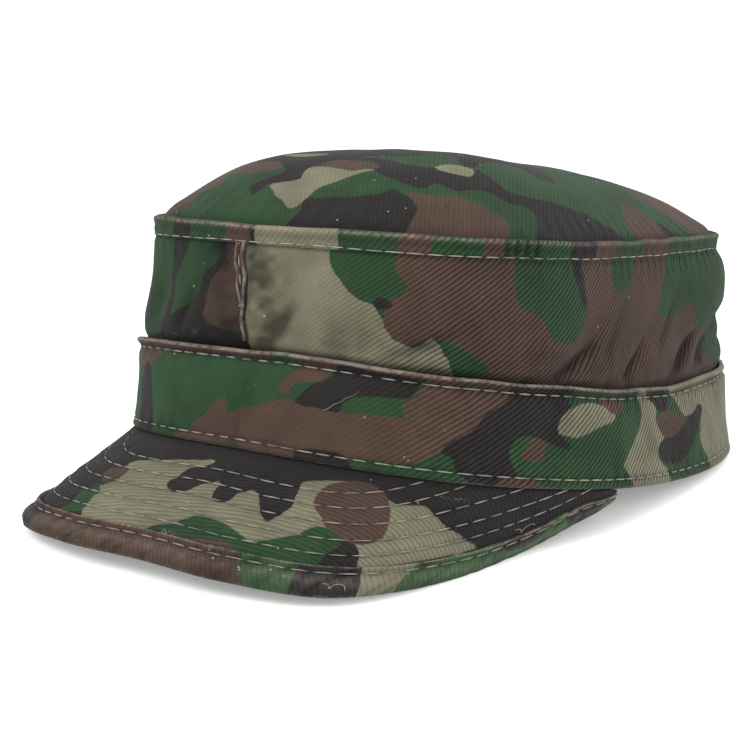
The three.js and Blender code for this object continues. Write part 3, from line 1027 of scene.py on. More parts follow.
TOP_CHART = Chart(patches=(
    Patch(Dye.GREEN, ((-50, -60), (-50, -110), (20, -112), (76, -80), (76, 60), (48, 62), (40, 0), (0, -45))),
    Patch(Dye.BLACK, ((-28, -69), (-20, -70.5), (-13.5, -74.8), (-5, -73), (1, -70.7), (15, -69),
        (12.6, -65.3), (23.4, -59.5), (30.3, -51), (35.5, -55.8), (39.8, -55), (38.3, -44.8), (40.4, -31.8),
        (46.9, -31.5), (49, -24), (41.7, -19.7), (38, -14), (26, -30), (8, -44), (-10, -52), (-25, -60))),
    Patch(Dye.BLACK, ((-13.5, -74.8), (-9, -77.8), (-12.4, -81.7), (-16.2, -85), (-13, -88.7), (-10.8, -88.7),
        (-9.3, -84.7), (-2, -83.6), (0, -82.2), (-2, -75.7), (1, -70.7), (-8, -70))),
    Patch(Dye.BLACK, ((9, -68), (18.4, -66.7), (27.9, -68.4), (34, -65), (38, -58), (42.8, -54.8),
        (50.2, -54.5), (53.3, -49.5), (55, -42.8), (58, -30.4), (60.7, -22.4), (63.8, -16), (67, -11),
        (71, -30), (69, -60), (64, -58), (59.6, -52), (56.9, -50.8), (53.7, -57), (47.3, -64.9), (45, -70.3),
        (39.2, -72.8), (38.3, -77), (31.4, -78.1), (20.5, -75.5), (19.3, -71.3), (15, -69.8))),
    Patch(Dye.BROWN, ((-34.5, -90.5), (-36, -85.5), (-31, -83.4), (-30.5, -77.5), (-21.5, -79.3),
        (-13.5, -77.4), (-13.5, -74.8), (-20, -70.5), (-27, -69.5), (-40, -60), (-52, -50), (-60, -62),
        (-56, -80), (-46, -92))),
    Patch(Dye.TAN, ((-24, -62), (-14.4, -65.9), (-6.5, -63.6), (-5, -62), (-15.8, -60.2))),
    Patch(Dye.TAN, ((-8.7, -85.2), (-3.8, -88), (0.4, -90.4), (5.8, -92.8), (8.2, -90.2), (9, -86.2),
        (13.5, -81.3), (20.5, -75), (14.8, -76.3), (5.3, -75.7), (-2, -75.7), (-1, -80.5), (0, -82.2),
        (-5, -84.4))),
    Patch(Dye.BROWN, ((1, -70.7), (10, -70), (19.3, -71.3), (20.3, -73.8), (14.8, -76.3), (5.3, -75.7),
        (0.5, -74))),
    Patch(Dye.BROWN, ((9, -66), (13, -64.5), (12.5, -66.5), (9.5, -68))),
    Patch(Dye.BROWN, ((23.5, -58.5), (27, -54.5), (29, -53.5), (26, -57.5))),
    Patch(Dye.TAN, ((34, -65.5), (35, -60.3), (37.9, -57.7), (42, -57), (42.9, -61.4), (38.2, -65.2))),
    Patch(Dye.BLACK, ((8.2, -90.2), (16, -88.3), (22, -87.4), (29.1, -84.6), (31.4, -81.9), (38.2, -82.2),
        (42.2, -84), (44, -89), (46, -96), (11, -102), (9.3, -93))),
    Patch(Dye.BROWN, ((35.6, -80.8), (41.4, -77.6), (45.9, -72.8), (50.8, -68.4), (57.2, -64), (59.8, -66),
        (64, -76), (52, -96), (44, -92), (42, -84), (40, -82.4))),
    Patch(Dye.GREEN, ((45.6, -76.3), (46.8, -75.1), (48, -76.3), (46.8, -77.5))),
    Patch(Dye.BROWN, ((56.3, 5), (56.4, 12.2), (62, 15.8), (67, 18.5), (68, -1), (61.7, -2.5), (58.6, 0.5))),
    Patch(Dye.BLACK, ((61.9, 17), (63, 22), (65.5, 27.5), (68, 25), (65.5, 17.5))),
    Patch(Dye.BROWN, ((52.5, 21.8), (56.9, 29.2), (63, 39.5), (66, 52), (58, 62), (50, 50), (49, 32),
        (50.5, 24))),
    Patch(Dye.BROWN, ((46.5, 16), (48.5, 22), (50, 27), (47, 24))),
))


@dataclass
class Band:
    """Broad doubled band with a turned hem and a worn rolled lip."""

    face: tuple[SectionRow, ...] = (
        SectionRow(0.0, 0.0), SectionRow(0.03, 0.75), SectionRow(0.075, 0.7), SectionRow(0.14, 0.45),
        SectionRow(0.3, 0.3), SectionRow(0.6, 0.3), SectionRow(0.84, 0.3), SectionRow(0.915, -0.1),
        SectionRow(0.945, 0.45), SectionRow(0.972, 0.7), SectionRow(0.992, 0.4), SectionRow(1.0, -0.2),
    )
    back: tuple[SectionRow, ...] = (
        SectionRow(0.0, -1.9), SectionRow(0.05, -2.1), SectionRow(0.92, -2.0), SectionRow(1.0, -1.4),
    )
    around: int = 660
    height: float = 27.9
    hem_stitch: float = 2.7
    lip_stitch: float = 25.2
    lip_groove: float = 26.3
    lip_lean: float = 0.55
    lip_lean_at: float = -0.73
    lip_waves: Unevenness = Unevenness(10, 13, 0.016)
    lip_lumps: Unevenness = Unevenness(8, 3.2, 0.25)
    slack: Unevenness = Unevenness(5, 17, 0.45)
    ruffle: Unevenness = Unevenness(6, 6, 0.16)
    drift: Unevenness = Unevenness(7, 9, 2.0)
    darkening: Unevenness = Unevenness(9, 12)
    pitch: float = 5.6
    stitch_width: float = 0.85
    stitch_depth: float = 0.3
    stitch_pull: float = 0.16
    pucker: float = 0.13
    pucker_width: float = 2.6

    def shares(self) -> np.ndarray:
        """Shares of the band's height, closer together at the hem and the lip."""
        return steps_at(((0.0, 0.14, 9), (0.14, 0.84, 20), (0.84, 1.0, 16)))

    def out(self, angle: np.ndarray, share: np.ndarray) -> np.ndarray:
        """Distance of the outer face from its wall: section, stitch puckers and slack cloth.

        Args:
            angle: angles round the band.
            share: shares of its height.

        Returns:
            Distances in mm.
        """
        girth = angle * GIRTH_RADIUS
        place = np.stack([girth + NOISE_SHIFT, share * self.height + 50], axis=-1)
        out = section(self.face, share)
        body = smoothstep(share, 0.1, 0.25) * (1 - smoothstep(share, 0.78, 0.9))
        out = out + body * (self.slack.relief(place) + self.ruffle.relief(place))
        turn = TAU * girth / self.pitch
        ripple = np.sin(turn + self.drift.relief(place))
        depth = self.stitch_depth + self.stitch_pull * np.cos(turn)
        for stitch in (self.hem_stitch, self.lip_stitch):
            distance = share * self.height - stitch
            inwards = np.sign(self.height / 2 - stitch) * 2
            out = out - bell(distance, self.stitch_width) * depth
            out = out + self.pucker * ripple * bell(distance - inwards, self.pucker_width)
        lip = smoothstep(share, 0.93, 0.97)
        leant = self.lip_lean * np.cos(angle - self.lip_lean_at) * smoothstep(share, 0.85, 0.95)
        return out + lip * self.lip_lumps.relief(place) + leant

    def risen(self, angle: np.ndarray, share: np.ndarray) -> np.ndarray:
        """Shares of the height with the lip's own ups and downs."""
        return share + smoothstep(share, 0.82, 0.97) * self.lip_waves.relief(on_drum(angle, 0.0))

    def point(self, angle: np.ndarray, above: np.ndarray, lift: float) -> np.ndarray:
        """Point on the outer face, so many mm over the hem, lifted off it."""
        share = above / self.height
        return wall(HEM, BAND_TOP, angle, self.risen(angle, share), self.out(angle, share) + lift)

    def snag(self) -> np.ndarray:
        """Path of the pulled thread on the front.

        Returns:
            Points in mm.
        """
        part = np.linspace(0, 1, 40)
        turn = np.radians(15.4 + 5.2 * part + 0.12 * np.sin(17 * part))
        return self.point(turn, 14.8 + 6.0 * part, 0.02)

    def sheet(self) -> ClothSheet:
        """The band's cloth.

        Returns:
            The cloth.
        """
        turns = np.linspace(0, TAU, self.around + 1)
        angle, share = np.meshgrid(turns, self.shares(), indexing="ij")
        lay = np.stack([angle * GIRTH_RADIUS, share * self.height], axis=-1)
        angle, share = angle[:-1], share[:-1]
        risen = self.risen(angle, share)
        outer = wall(HEM, BAND_TOP, angle, risen, self.out(angle, share))
        inner = wall(HEM, BAND_TOP, angle, risen, section(self.back, share))
        degrees = from_front(angle)
        above = share * self.height
        lip = smoothstep(share, 0.965, 0.985)
        hem = 1 - smoothstep(share, 0.0, 0.035)
        crease = bell(above - self.lip_stitch, 0.9) + bell(above - self.hem_stitch, 0.8)
        under_lip = bell(above - self.lip_groove, 0.8)
        darkening = np.clip(self.darkening.at(lay[:-1] + NOISE_SHIFT) - 0.2, 0, 1)
        marks = WOODLAND.marks(outer, np.stack([degrees, above], axis=-1), BAND_CHART)
        # Paler along the lip's crest, which is worn and carries a painted highlight, and worn along the hem
        marks["wear_and_highlight"] = np.clip(0.9 * lip + 0.3 * hem, 0, 1)
        marks["shade"] = np.clip(0.34 * crease + 0.42 * under_lip + 0.35 * darkening, 0, 0.7)
        marks["weave"] = twill_clearness(degrees, 16, 44) * (1 - 0.7 * lip)
        return ClothSheet("band_cloth", outer, inner, lay, marks, is_ring=True)


@dataclass
class CrownSide:
    """Side of the crown, in two panels that meet at the front and back seams."""

    face: tuple[SectionRow, ...] = (
        SectionRow(-0.14, -2.7), SectionRow(-0.02, -2.3), SectionRow(0.07, -0.6), SectionRow(0.2, 0.3),
        SectionRow(0.4, 0.1), SectionRow(0.6, -0.1), SectionRow(0.8, -0.2), SectionRow(0.9, -0.35),
        SectionRow(1.0, -0.7),
    )
    folds: tuple[Fold, ...] = (
        Fold(127, 9.6, 22, 5.5, 4, -3.6), Fold(121, 22.9, 22, 9, -8, 1.6), Fold(84, 8.9, 22, 5, 38, -2.4),
        Fold(92, 18.5, 20, 6, 40, 1.4), Fold(60, 8.9, 17, 5, 42, -2.0), Fold(24, 9.6, 18, 5, 36, -1.8),
        Fold(8, 19.2, 14, 5, 62, -1.7), Fold(-22, 14.8, 16, 5, 75, -1.5), Fold(-52, 10.4, 18, 5.5, -32, -2.0),
        Fold(-86, 9.3, 20, 5, -38, -2.4), Fold(-124, 10.4, 20, 5.5, -6, -3.0),
        Fold(158, 8.9, 16, 5, 28, -1.9), Fold(-157, 9.6, 16, 5, -30, -1.8),
    )
    creases: tuple[Fold, ...] = (
        Fold(58, 6.5, 12, 1.7, 29, -1.4), Fold(60.5, 4.4, 9, 2.2, 29, 0.6), Fold(80, 6.5, 9.5, 1.8, 35, -1.4),
        Fold(83, 5, 8, 2.2, 38, 0.6), Fold(109, 11, 12, 2.0, 22, -1.3), Fold(113, 15, 10, 2.2, 14, 0.5),
        Fold(134, 15.3, 14, 3.4, 3, -1.7), Fold(134, 29, 19, 8, -4, 1.9), Fold(-42, 17, 18, 12, 0, -2.1),
        Fold(104, 6, 10, 2.4, 30, -1.5), Fold(118, 7.5, 9, 2.2, 24, -1.4), Fold(111, 8.5, 9, 2.4, 27, 0.6),
        Fold(70, 13, 12, 2.2, 44, -0.7), Fold(97, 17, 10, 2.0, 40, -0.8), Fold(6, 9, 7, 2.2, 64, -0.9),
        Fold(30, 9, 9, 1.8, 34, -0.7), Fold(-14, 12, 9, 2.0, 70, -0.8), Fold(-40, 7, 9, 1.9, -36, -1.0),
        Fold(-70, 7, 9, 1.8, -38, -1.1), Fold(-108, 8, 10, 2.0, -20, -1.2), Fold(172, 7, 8, 1.9, 30, -0.9),
        Fold(-172, 8, 8, 1.9, -34, -0.9), Fold(140, 8, 9, 1.9, 10, -1.1),
    )
    fade: tuple[float, float, float] = (0.12, 0.84, 1.0)
    side_height: float = 37.0
    columns: int = 310
    front_seam: tuple[float, float] = (-0.005, -0.062)
    back_seam: tuple[float, float] = (math.pi, math.pi)
    seam_half_width: float = 1.9
    seam_foot_width: float = 0.8
    seam_strand: float = 1.15
    seam_wander: Unevenness = Unevenness(64, 5, 0.4)
    seam_lumps: Unevenness = Unevenness(61, 2.4, 0.3)
    seam_print: Unevenness = Unevenness(62, 7)
    seam_wear: Unevenness = Unevenness(65, 3, 0.4)
    welt_stitch: float = 0.955
    pitch: float = 5.4
    stitch_depth: float = 0.25
    pucker: float = 0.16
    pucker_width: float = 2.6
    slack: Unevenness = Unevenness(15, 13, 0.3)
    ruffle: Unevenness = Unevenness(16, 5, 0.14)
    drift: Unevenness = Unevenness(17, 9, 2.0)
    streaks: Unevenness = Unevenness(63, 5, 0.5)
    mottling: Unevenness = Unevenness(66, 2.4, 0.5)
    arc_length: float = 1.03

    def fold_depth(self, angle: np.ndarray, share: np.ndarray, folds: tuple[Fold, ...]) -> np.ndarray:
        """How far a table of folds moves the cloth outward.

        Args:
            angle: angles round the crown.
            share: shares of its height.
            folds: the folds.

        Returns:
            Distances in mm, in being negative.
        """
        depth = np.zeros(np.broadcast(angle, share).shape)
        for fold in folds:
            turn = angle - math.radians(fold.at)
            aside = np.arctan2(np.sin(turn), np.cos(turn)) * GIRTH_RADIUS
            above = share * self.side_height - fold.above
            lean = math.radians(fold.lean)
            along = aside * math.cos(lean) + above * math.sin(lean)
            across = above * math.cos(lean) - aside * math.sin(lean)
            depth += fold.depth * bell(along, fold.length) * bell(across, fold.width)
        foot, head, end = self.fade
        return depth * smoothstep(share, 0, foot) * (1 - smoothstep(share, head, end))

    def out(self, angle: np.ndarray, share: np.ndarray) -> np.ndarray:
        """Distance of the outer face from its wall.

        Args:
            angle: angles round the crown.
            share: shares of its height.

        Returns:
            Distances in mm.
        """
        around = on_drum(angle, share * self.side_height)
        turn = TAU * angle * GIRTH_RADIUS / self.pitch
        out = section(self.face, share)
        out = out + self.fold_depth(angle, share, self.folds) + self.fold_depth(angle, share, self.creases)
        body = smoothstep(share, 0.02, 0.2) * (1 - smoothstep(share, 0.86, 0.97))
        out = out + body * (self.slack.relief(around) + self.ruffle.relief(around))
        above = (share - self.welt_stitch) * self.side_height
        out = out - self.stitch_depth * bell(above, 0.8) * (1 + 0.6 * np.cos(turn))
        ripple = np.sin(turn + self.drift.relief(around))
        return out + self.pucker * ripple * bell(above + 2.2, self.pucker_width)

    def point(self, angle: np.ndarray, share: np.ndarray, lift: float) -> np.ndarray:
        """Point on the side's outer face at a share of its height, lifted off it.

        Args:
            angle: angles round the crown.
            share: shares of its height, up to the welt.
            lift: mm off it.

        Returns:
            The points in mm.
        """
        reach = RIM.points(angle)[..., 2] - BAND_TOP.points(angle)[..., 2]
        welt_share = 1 - (TopWelt.drop + TopWelt.half_height + GAP) / reach
        return wall(BAND_TOP, RIM, angle, share * welt_share, self.out(angle, share) + lift)

    def seam_angle(self, seam: tuple[float, float], share: np.ndarray) -> np.ndarray:
        """Angle of a seam at a share of the height."""
        return seam[0] + (seam[1] - seam[0]) * share

    def shares(self) -> np.ndarray:
        """Shares of the side's height, from its tuck behind the band to the welt."""
        return steps_at(((-0.14, 0.0, 6), (0.0, 0.88, 40), (0.88, 1.0, 8)))

    def sheet(self, name: str, start: tuple[float, float], end: tuple[float, float],
              chart: Chart) -> ClothSheet:
        """Cloth of one panel.

        Args:
            name: the panel's name.
            start, end: the seams at its first and last rows, as angles at foot and head.
            chart: the panel's print.

        Returns:
            The panel's sheet.
        """
        half_gap = GAP / 2 / GIRTH_RADIUS
        turn, share = np.meshgrid(np.linspace(0, 1, self.columns), self.shares(), indexing="ij")
        low = self.seam_angle(start, share) + half_gap
        high = self.seam_angle(end, share) - half_gap
        angle = low + (high - low) * turn
        outer = self.point(angle, share, 0)
        inner = self.point(angle, share, -CLOTH)
        above = share * self.side_height * self.arc_length
        lay = np.stack([angle * GIRTH_RADIUS, above], axis=-1)
        degrees = np.degrees(angle)
        depth = self.fold_depth(angle, share, self.creases)
        marks = WOODLAND.marks(outer, np.stack([degrees, above], axis=-1), chart)
        stitch = bell((share - self.welt_stitch) * self.side_height, 0.9)
        tuck = 1 - smoothstep(share, 0.0, 0.09)
        # Painted shade with a mottled grain: beside the front seam, towards the foot of the side, and a
        # little over the whole side, more on the front of the right panel
        streak = 0.5 + self.streaks.relief(lay * (1, 0.35) + SHADE_NOISE_SHIFT)
        mottle = streak * (0.8 + self.mottling.relief(lay + SHADE_NOISE_SHIFT))
        from_seam = np.abs(angle - self.seam_angle(self.front_seam, share)) * GIRTH_RADIUS
        darkening = 0.85 * mottle * bell(np.maximum(from_seam - 3, 0), 9) + 0.52 * mottle * bell(above, 15)
        darkening = darkening + 0.1 + 0.1 * (angle < 0) * (angle > -1.2)
        marks["wear_and_highlight"] = np.zeros_like(share)
        # Painted shade in the creases, along the welt stitches, at the tuck behind the band and in the
        # mottled patches
        marks["shade"] = np.clip(0.55 * np.clip(-depth, 0, 1.4) + 0.3 * stitch + 0.4 * tuck + darkening, 0, 0.75)
        marks["weave"] = twill_clearness(degrees, 9, 38)
        return ClothSheet(name, outer, inner, lay, marks)

    def seam_ridge(self, name: str, seam: tuple[float, float]) -> ClothSheet:
        """Narrow felled ridge over one seam.

        Args:
            name: the piece's name.
            seam: the seam, as angles at foot and head.

        Returns:
            The ridge's sheet.
        """
        across, share = np.meshgrid(np.linspace(-1, 1, 13), np.linspace(0.07, 0.985, 90), indexing="ij")
        parted = smoothstep(share, 0.3, 0.62)
        aside = across * (self.seam_foot_width + (self.seam_half_width - self.seam_foot_width) * parted)
        wobble = self.seam_wander.relief(np.stack([share * self.side_height + 60, 0 * share], axis=-1))
        angle = self.seam_angle(seam, share) + (aside + wobble) / GIRTH_RADIUS
        place = np.stack([aside + 20, share * self.side_height], axis=-1)
        round_top = np.sqrt(np.clip(1 - across ** 2, 0, 1))
        rise = 0.2 + 0.75 * round_top * (1 + self.seam_lumps.relief(place))
        groove = 0.5 * parted * bell(aside, 0.5)
        strand = bell(np.abs(aside) - self.seam_strand * parted, 0.45)
        outer = self.point(angle, share, 0) + RIM.outward(angle) * (rise - groove)[..., None]
        inner = self.point(angle, share, GAP * 0.5)
        lay = np.stack([angle * GIRTH_RADIUS, share * self.side_height], axis=-1)
        marks = {dye.value: np.full(share.shape, -5.0) for dye in PRINTED}
        blots = self.seam_print.at(place)
        marks[Dye.BROWN.value] = 1.2 + blots * 3
        marks[Dye.BLACK.value] = 0.3 - 2 * blots
        marks["wear_and_highlight"] = np.clip(0.85 * strand * (0.8 + self.seam_wear.relief(place)), 0, 1)
        marks["shade"] = np.clip(0.5 - 0.5 * strand, 0, 0.5)
        marks["weave"] = np.full(share.shape, 0.2)
        return ClothSheet(name, outer, inner, lay, marks)


@dataclass
class TopWelt:
    """Rolled welt between the top panel and the side."""

    half_height: float = 1.8
    drop: float = 1.9
    around: int = 760
    waves: Unevenness = Unevenness(34, 12, 0.45)
    stitch_waves: Unevenness = Unevenness(35, 11, 0.25)
    lumps: Unevenness = Unevenness(31, 7, 0.3)
    ruffle: Unevenness = Unevenness(32, 2.6, 0.16)
    drift: Unevenness = Unevenness(33, 9, 2.0)
    pleat_depth: float = 0.8
    pucker: float = 0.12
    least_wall: float = 0.25
    roll: float = 2.45
    pleats: tuple[float, ...] = (41.6, 43.4, 45.4, 47.6)
    pucker_pitch: float = 5.4
    lift: float = 0.35
    corner_lift: float = 1.0
    corner: float = -50.0
    corner_width: float = 40.0
    skirt: float = 1.5
    stitch: float = 0.55
    face: tuple[SectionRow, ...] = (
        SectionRow(0.0, -0.2), SectionRow(0.06, 0.05), SectionRow(0.12, -0.05), SectionRow(0.25, 0.15),
        SectionRow(0.55, 0.2), SectionRow(0.76, 0.55), SectionRow(0.9, 0.5), SectionRow(1.0, -0.5),
    )

    def lifted(self, angle: np.ndarray) -> np.ndarray:
        """How far the ridge stands over its plain height at angles round the cap.

        Args:
            angle: the angles.

        Returns:
            Heights in mm.
        """
        aside = from_front(angle) - self.corner
        waves = self.waves.relief(on_drum(angle, 0.0))
        return self.lift + self.corner_lift * bell(aside, self.corner_width) + waves

    def foot(self) -> float:
        """Height of the strip's lower edge over the rim."""
        return -(self.skirt + self.half_height + self.drop)

    def stitch_line(self, angle: np.ndarray) -> np.ndarray:
        """Path of the stitches along the foot of the strip.

        Args:
            angle: angles round the cap.

        Returns:
            Points in mm.
        """
        points = wall(RIM, RIM, angle, 0.0, 0.1)
        points[..., 2] += self.stitch + self.foot() + self.stitch_waves.relief(on_drum(angle, 0.0))
        return points

    def sheet(self) -> ClothSheet:
        """The welt's cloth: a flat strip under a rounded ridge.

        Returns:
            The cloth.
        """
        turns = np.linspace(0, TAU, self.around + 1)
        shares = steps_at(((0.0, 0.16, 5), (0.16, 0.6, 4), (0.6, 1.0, 9)))
        angle, share = np.meshgrid(turns, shares, indexing="ij")
        height = 2 * self.half_height + self.skirt
        lay = np.stack([angle * GIRTH_RADIUS, share * height], axis=-1)
        angle, share = angle[:-1], share[:-1]
        degrees = from_front(angle)
        place = on_drum(angle, share * height)
        body = np.sin(math.pi * share)
        pleat = sum(bell((degrees - at) * MM_PER_DEGREE, 0.8) for at in self.pleats)
        pucker = np.cos(TAU * angle * GIRTH_RADIUS / self.pucker_pitch + self.drift.relief(place))
        uneven = self.lumps.relief(place) + self.ruffle.relief(place) - self.pleat_depth * pleat
        uneven = uneven + self.pucker * pucker * (1 - smoothstep(share, 0.3, 0.7))
        ridge = np.sin(math.pi * np.clip((share - 0.35) / 0.65, 0, 1))
        face = section(self.face, share)
        halves = []
        for out in (face + body * uneven, face - self.least_wall - self.roll * ridge):
            points = wall(RIM, RIM, angle, 0.0, out)
            points[..., 2] += share * (height + self.lifted(angle)) + self.foot()
            halves.append(points)
        print_lay = np.stack([degrees, (share - 0.5) * height], axis=-1)
        marks = WOODLAND.marks(halves[0], print_lay, WELT_CHART)
        # Paler along the ridge: worn on its crest, with a painted highlight that grows towards the front
        marks["wear_and_highlight"] = (0.45 + 0.4 * bell(degrees - 8, 22)) * bell(share - 0.86, 0.08)
        # Painted shade in the pleats, along the stitch line at the strip's foot and on the lower half of the
        # ridge
        folded_in_shade = 0.3 * bell(share - 0.1, 0.07) + 0.35 * bell(share - 0.5, 0.2)
        marks["shade"] = np.clip(0.6 * pleat + folded_in_shade, 0, 0.7)
        marks["weave"] = 0.25 + 0.5 * smoothstep(np.abs(degrees), 10, 40)
        return ClothSheet("welt_cloth", halves[0], halves[1], lay, marks, is_ring=True, is_lined=False)


@dataclass
class CrownTop:
    """Domed top panel of the crown."""

    rise: float = 21.0
    lateness: float = 4.0
    forward_lean: float = 3.0
    edge_inset: float = 2.1
    edge_drop: float = 0.9
    puff: float = 4.2
    puff_at: float = -58.0
    puff_width: float = 22.0
    edge_reach: float = 80.0
    pucker_pitch: float = 6.3
    pucker: float = 0.28
    slack: Unevenness = Unevenness(41, 30, 0.5)
    ruffle: Unevenness = Unevenness(42, 9, 0.18)
    drift: Unevenness = Unevenness(43, 9, 2.0)
    around: int = 480
    welt: TopWelt = field(default_factory=TopWelt)

    def sheet(self) -> ClothSheet:
        """The top panel's cloth.

        Returns:
            The cloth.
        """
        turns = np.linspace(0, TAU, self.around + 1)[:-1]
        shares = 1 - steps_at(((0.0, 0.06, 9), (0.06, 0.2, 12), (0.2, 0.95, 34), (0.95, 1.0, 3)))
        angle, share = np.meshgrid(turns, shares, indexing="ij")
        edge = wall(RIM, RIM, angle, 0.0, -self.edge_inset)
        middle = RIM.height + self.rise - self.forward_lean * edge[..., 1] * share / GIRTH_RADIUS
        height = middle + (edge[..., 2] - self.edge_drop - middle) * share ** self.lateness
        flat = edge[..., :2] * share[..., None]
        inward = (1 - share) * self.edge_reach
        place = flat + TOP_SHIFT
        uneven = self.slack.relief(place) + self.ruffle.relief(place)
        pucker = np.sin(angle * GIRTH_RADIUS * TAU / self.pucker_pitch + self.drift.relief(place))
        uneven = uneven + self.pucker * pucker * bell(inward, 7)
        aside = from_front(angle) - self.puff_at
        uneven = uneven + self.puff * bell(aside, self.puff_width) * share ** 7
        uneven = uneven * smoothstep(1 - share, 0.0, 0.035)
        uneven = uneven + (self.welt.lifted(angle) + 0.4) * bell(inward, 5)
        outer = np.concatenate([flat, (height + uneven)[..., None]], axis=-1)
        inner = outer - (0, 0, CLOTH)
        marks = WOODLAND.marks(outer, flat, TOP_CHART)
        marks["wear_and_highlight"] = np.zeros_like(share)
        marks["shade"] = 0.32 * bell(inward, 1.6)
        marks["weave"] = np.full(share.shape, 0.21)
        lay = np.concatenate([flat, flat[:1]])
        return ClothSheet("top_cloth", outer, inner, lay, marks, is_ring=True, has_pole=True)


@dataclass
class Peak:
    """Stiff quilted peak and the bound edge round it."""

    centre: float = -32.8
    edge_rows: tuple[EdgeRow, ...] = (
        EdgeRow(0, 109.4, -22.0), EdgeRow(15, 112.6, -22.5), EdgeRow(30, 113.2, -23.3),
        EdgeRow(45, 97.2, -23.4), EdgeRow(60, 83.2, -21.0), EdgeRow(75, 79.9, -14.7), EdgeRow(90, 80.8, -6.6),
    )
    turn_step: float = 15.0
    root_angle: float = 1.187
    root_spread: float = 0.09
    root_inset: float = -1.8
    root_outset: float = 0.4
    thickness: float = 2.8
    arch: float = 1.2
    edge_rise: float = 1.9
    taper: tuple[float, float, float] = (0.82, 1.0, 0.35)
    binding_width: float = 8.0
    least_length: float = 1.2
    stitch_rows: tuple[float, ...] = (12.5, 18.0, 24.0, 30.0, 36.0)
    even_rows: float = 18.0
    draw_in: float = 10.7
    binding_stitch: float = 5.9
    pitch: float = 5.9
    columns: int = 300
    binding_columns: int = 420
    edge_length: float = 170.0
    row_depth: float = 0.34
    row_pull: float = 0.14
    row_puff: float = 0.1
    row_drift: Unevenness = Unevenness(71, 11, 3.0)
    unevenness: Unevenness = Unevenness(72, 9, 0.22)
    ripple_pitch: float = 7.5
    ripple_depth: float = 0.16
    ripple_drift: Unevenness = Unevenness(81, 8, 3.0)
    binding_lumps: Unevenness = Unevenness(82, 5, 0.22)
    lip_waves: Unevenness = Unevenness(83, 3, 0.14)
    wrinkles: Unevenness = Unevenness(84, 2.4)
    binding_face: tuple[SectionRow, ...] = (
        SectionRow(0.0, 0.0), SectionRow(0.05, 0.95), SectionRow(0.13, 1.0), SectionRow(0.25, 0.5),
        SectionRow(0.5, 0.5), SectionRow(0.8, 0.05), SectionRow(0.95, -0.9), SectionRow(1.0, -1.9),
    )
    binding_back: tuple[SectionRow, ...] = (
        SectionRow(0.0, -2.8), SectionRow(0.06, -3.3), SectionRow(0.2, -3.7), SectionRow(0.5, -3.9),
        SectionRow(0.8, -3.5), SectionRow(0.95, -2.8), SectionRow(1.0, -1.9),
    )

    loose_ends: tuple[LooseThread, ...] = (
        LooseThread(30, 1.7, 5.5, 0.6, 1.5), LooseThread(12, 7.3, 4.5, 1.1, 1.2),
        LooseThread(-4, 7.7, 5.5, 0.8, 2.3), LooseThread(3, 8.4, 4.5, 0.9, 1.4),
        LooseThread(60, 9.2, 6, 0.8, 1.2),
    )

    def loose_path(self, thread: LooseThread) -> np.ndarray:
        """Path of a loose end that lies on the binding or beside it.

        Args:
            thread: the loose end.

        Returns:
            Points in mm.
        """
        part = np.linspace(0, 1, 60)
        along = (part - 0.5) * thread.length + thread.curl * np.sin(TAU * thread.coils * part)
        inward = thread.inset + thread.curl * np.cos(TAU * thread.coils * part)
        reach = self.edge_value("reach", np.full(part.shape, thread.turn))
        side = (thread.turn + np.degrees(along / reach)) / 90
        share = 1 - inward / self.line(side)[2]
        lift = 0.2 + np.where(inward < self.binding_width,
                              section(self.binding_face, 1 - inward / self.binding_width), 0)
        return self.face_point(side, share) + self.up(side, share) * lift[:, None]

    def edge_value(self, name: str, turn: np.ndarray) -> np.ndarray:
        """Smooth value of the outer edge at turns in degrees.

        Args:
            name: reach or height.
            turn: turns from straight ahead, the same for both sides.

        Returns:
            Values in mm.
        """
        values = np.array([getattr(row, name) for row in self.edge_rows])
        values = np.concatenate([values[1:2], values, 2 * values[-1:] - values[-2:-1]])
        place = np.abs(turn) / self.turn_step
        row = np.minimum(np.floor(place).astype(int), len(self.edge_rows) - 2)
        t = place - row
        before, start, end, after = (values[row + shift] for shift in range(4))
        bend = 2 * before - 5 * start + 4 * end - after
        twist = 3 * start - before - 3 * end + after
        return start + 0.5 * t * (end - before + t * (bend + t * twist))

    def left(self, side: np.ndarray) -> np.ndarray:
        """Share of its full thickness that the peak has at a side from -1 to 1."""
        start, end, least = self.taper
        return 1 + (least - 1) * smoothstep(np.abs(side), start, end)

    def line(self, side: np.ndarray) -> tuple[np.ndarray, np.ndarray, np.ndarray]:
        """Root, outer edge and length of the peak's upper face at a side.

        Args:
            side: sides from -1 to 1.

        Returns:
            Points at the band, points at the edge, and the lengths between, in mm.
        """
        root_angle = self.root_angle * side + self.root_spread * np.sin(math.pi * side)
        root = wall(HEM, BAND_TOP, root_angle, 0.0, self.root_outset)
        root[..., 2] -= GAP
        turn = side * math.pi / 2
        reach = self.edge_value("reach", side * 90)
        height = self.edge_value("height", side * 90) + self.edge_rise * self.left(side)
        edge = np.stack([reach * np.sin(turn), self.centre - reach * np.cos(turn), height], axis=-1)
        least = self.binding_width * self.left(side) + self.least_length
        return root, edge, np.maximum(np.linalg.norm(edge - root, axis=-1), least)

    def face_point(self, side: np.ndarray, share: np.ndarray) -> np.ndarray:
        """Point on the smooth upper face; share runs from the band to the outer edge.

        Args:
            side: sides from -1 to 1.
            share: shares of the way to the edge.

        Returns:
            Points in mm.
        """
        root, edge, _ = self.line(side)
        point = root + (edge - root) * share[..., None]
        point[..., 2] += self.arch * np.sin(math.pi * share) * (1 - side * side)
        return point

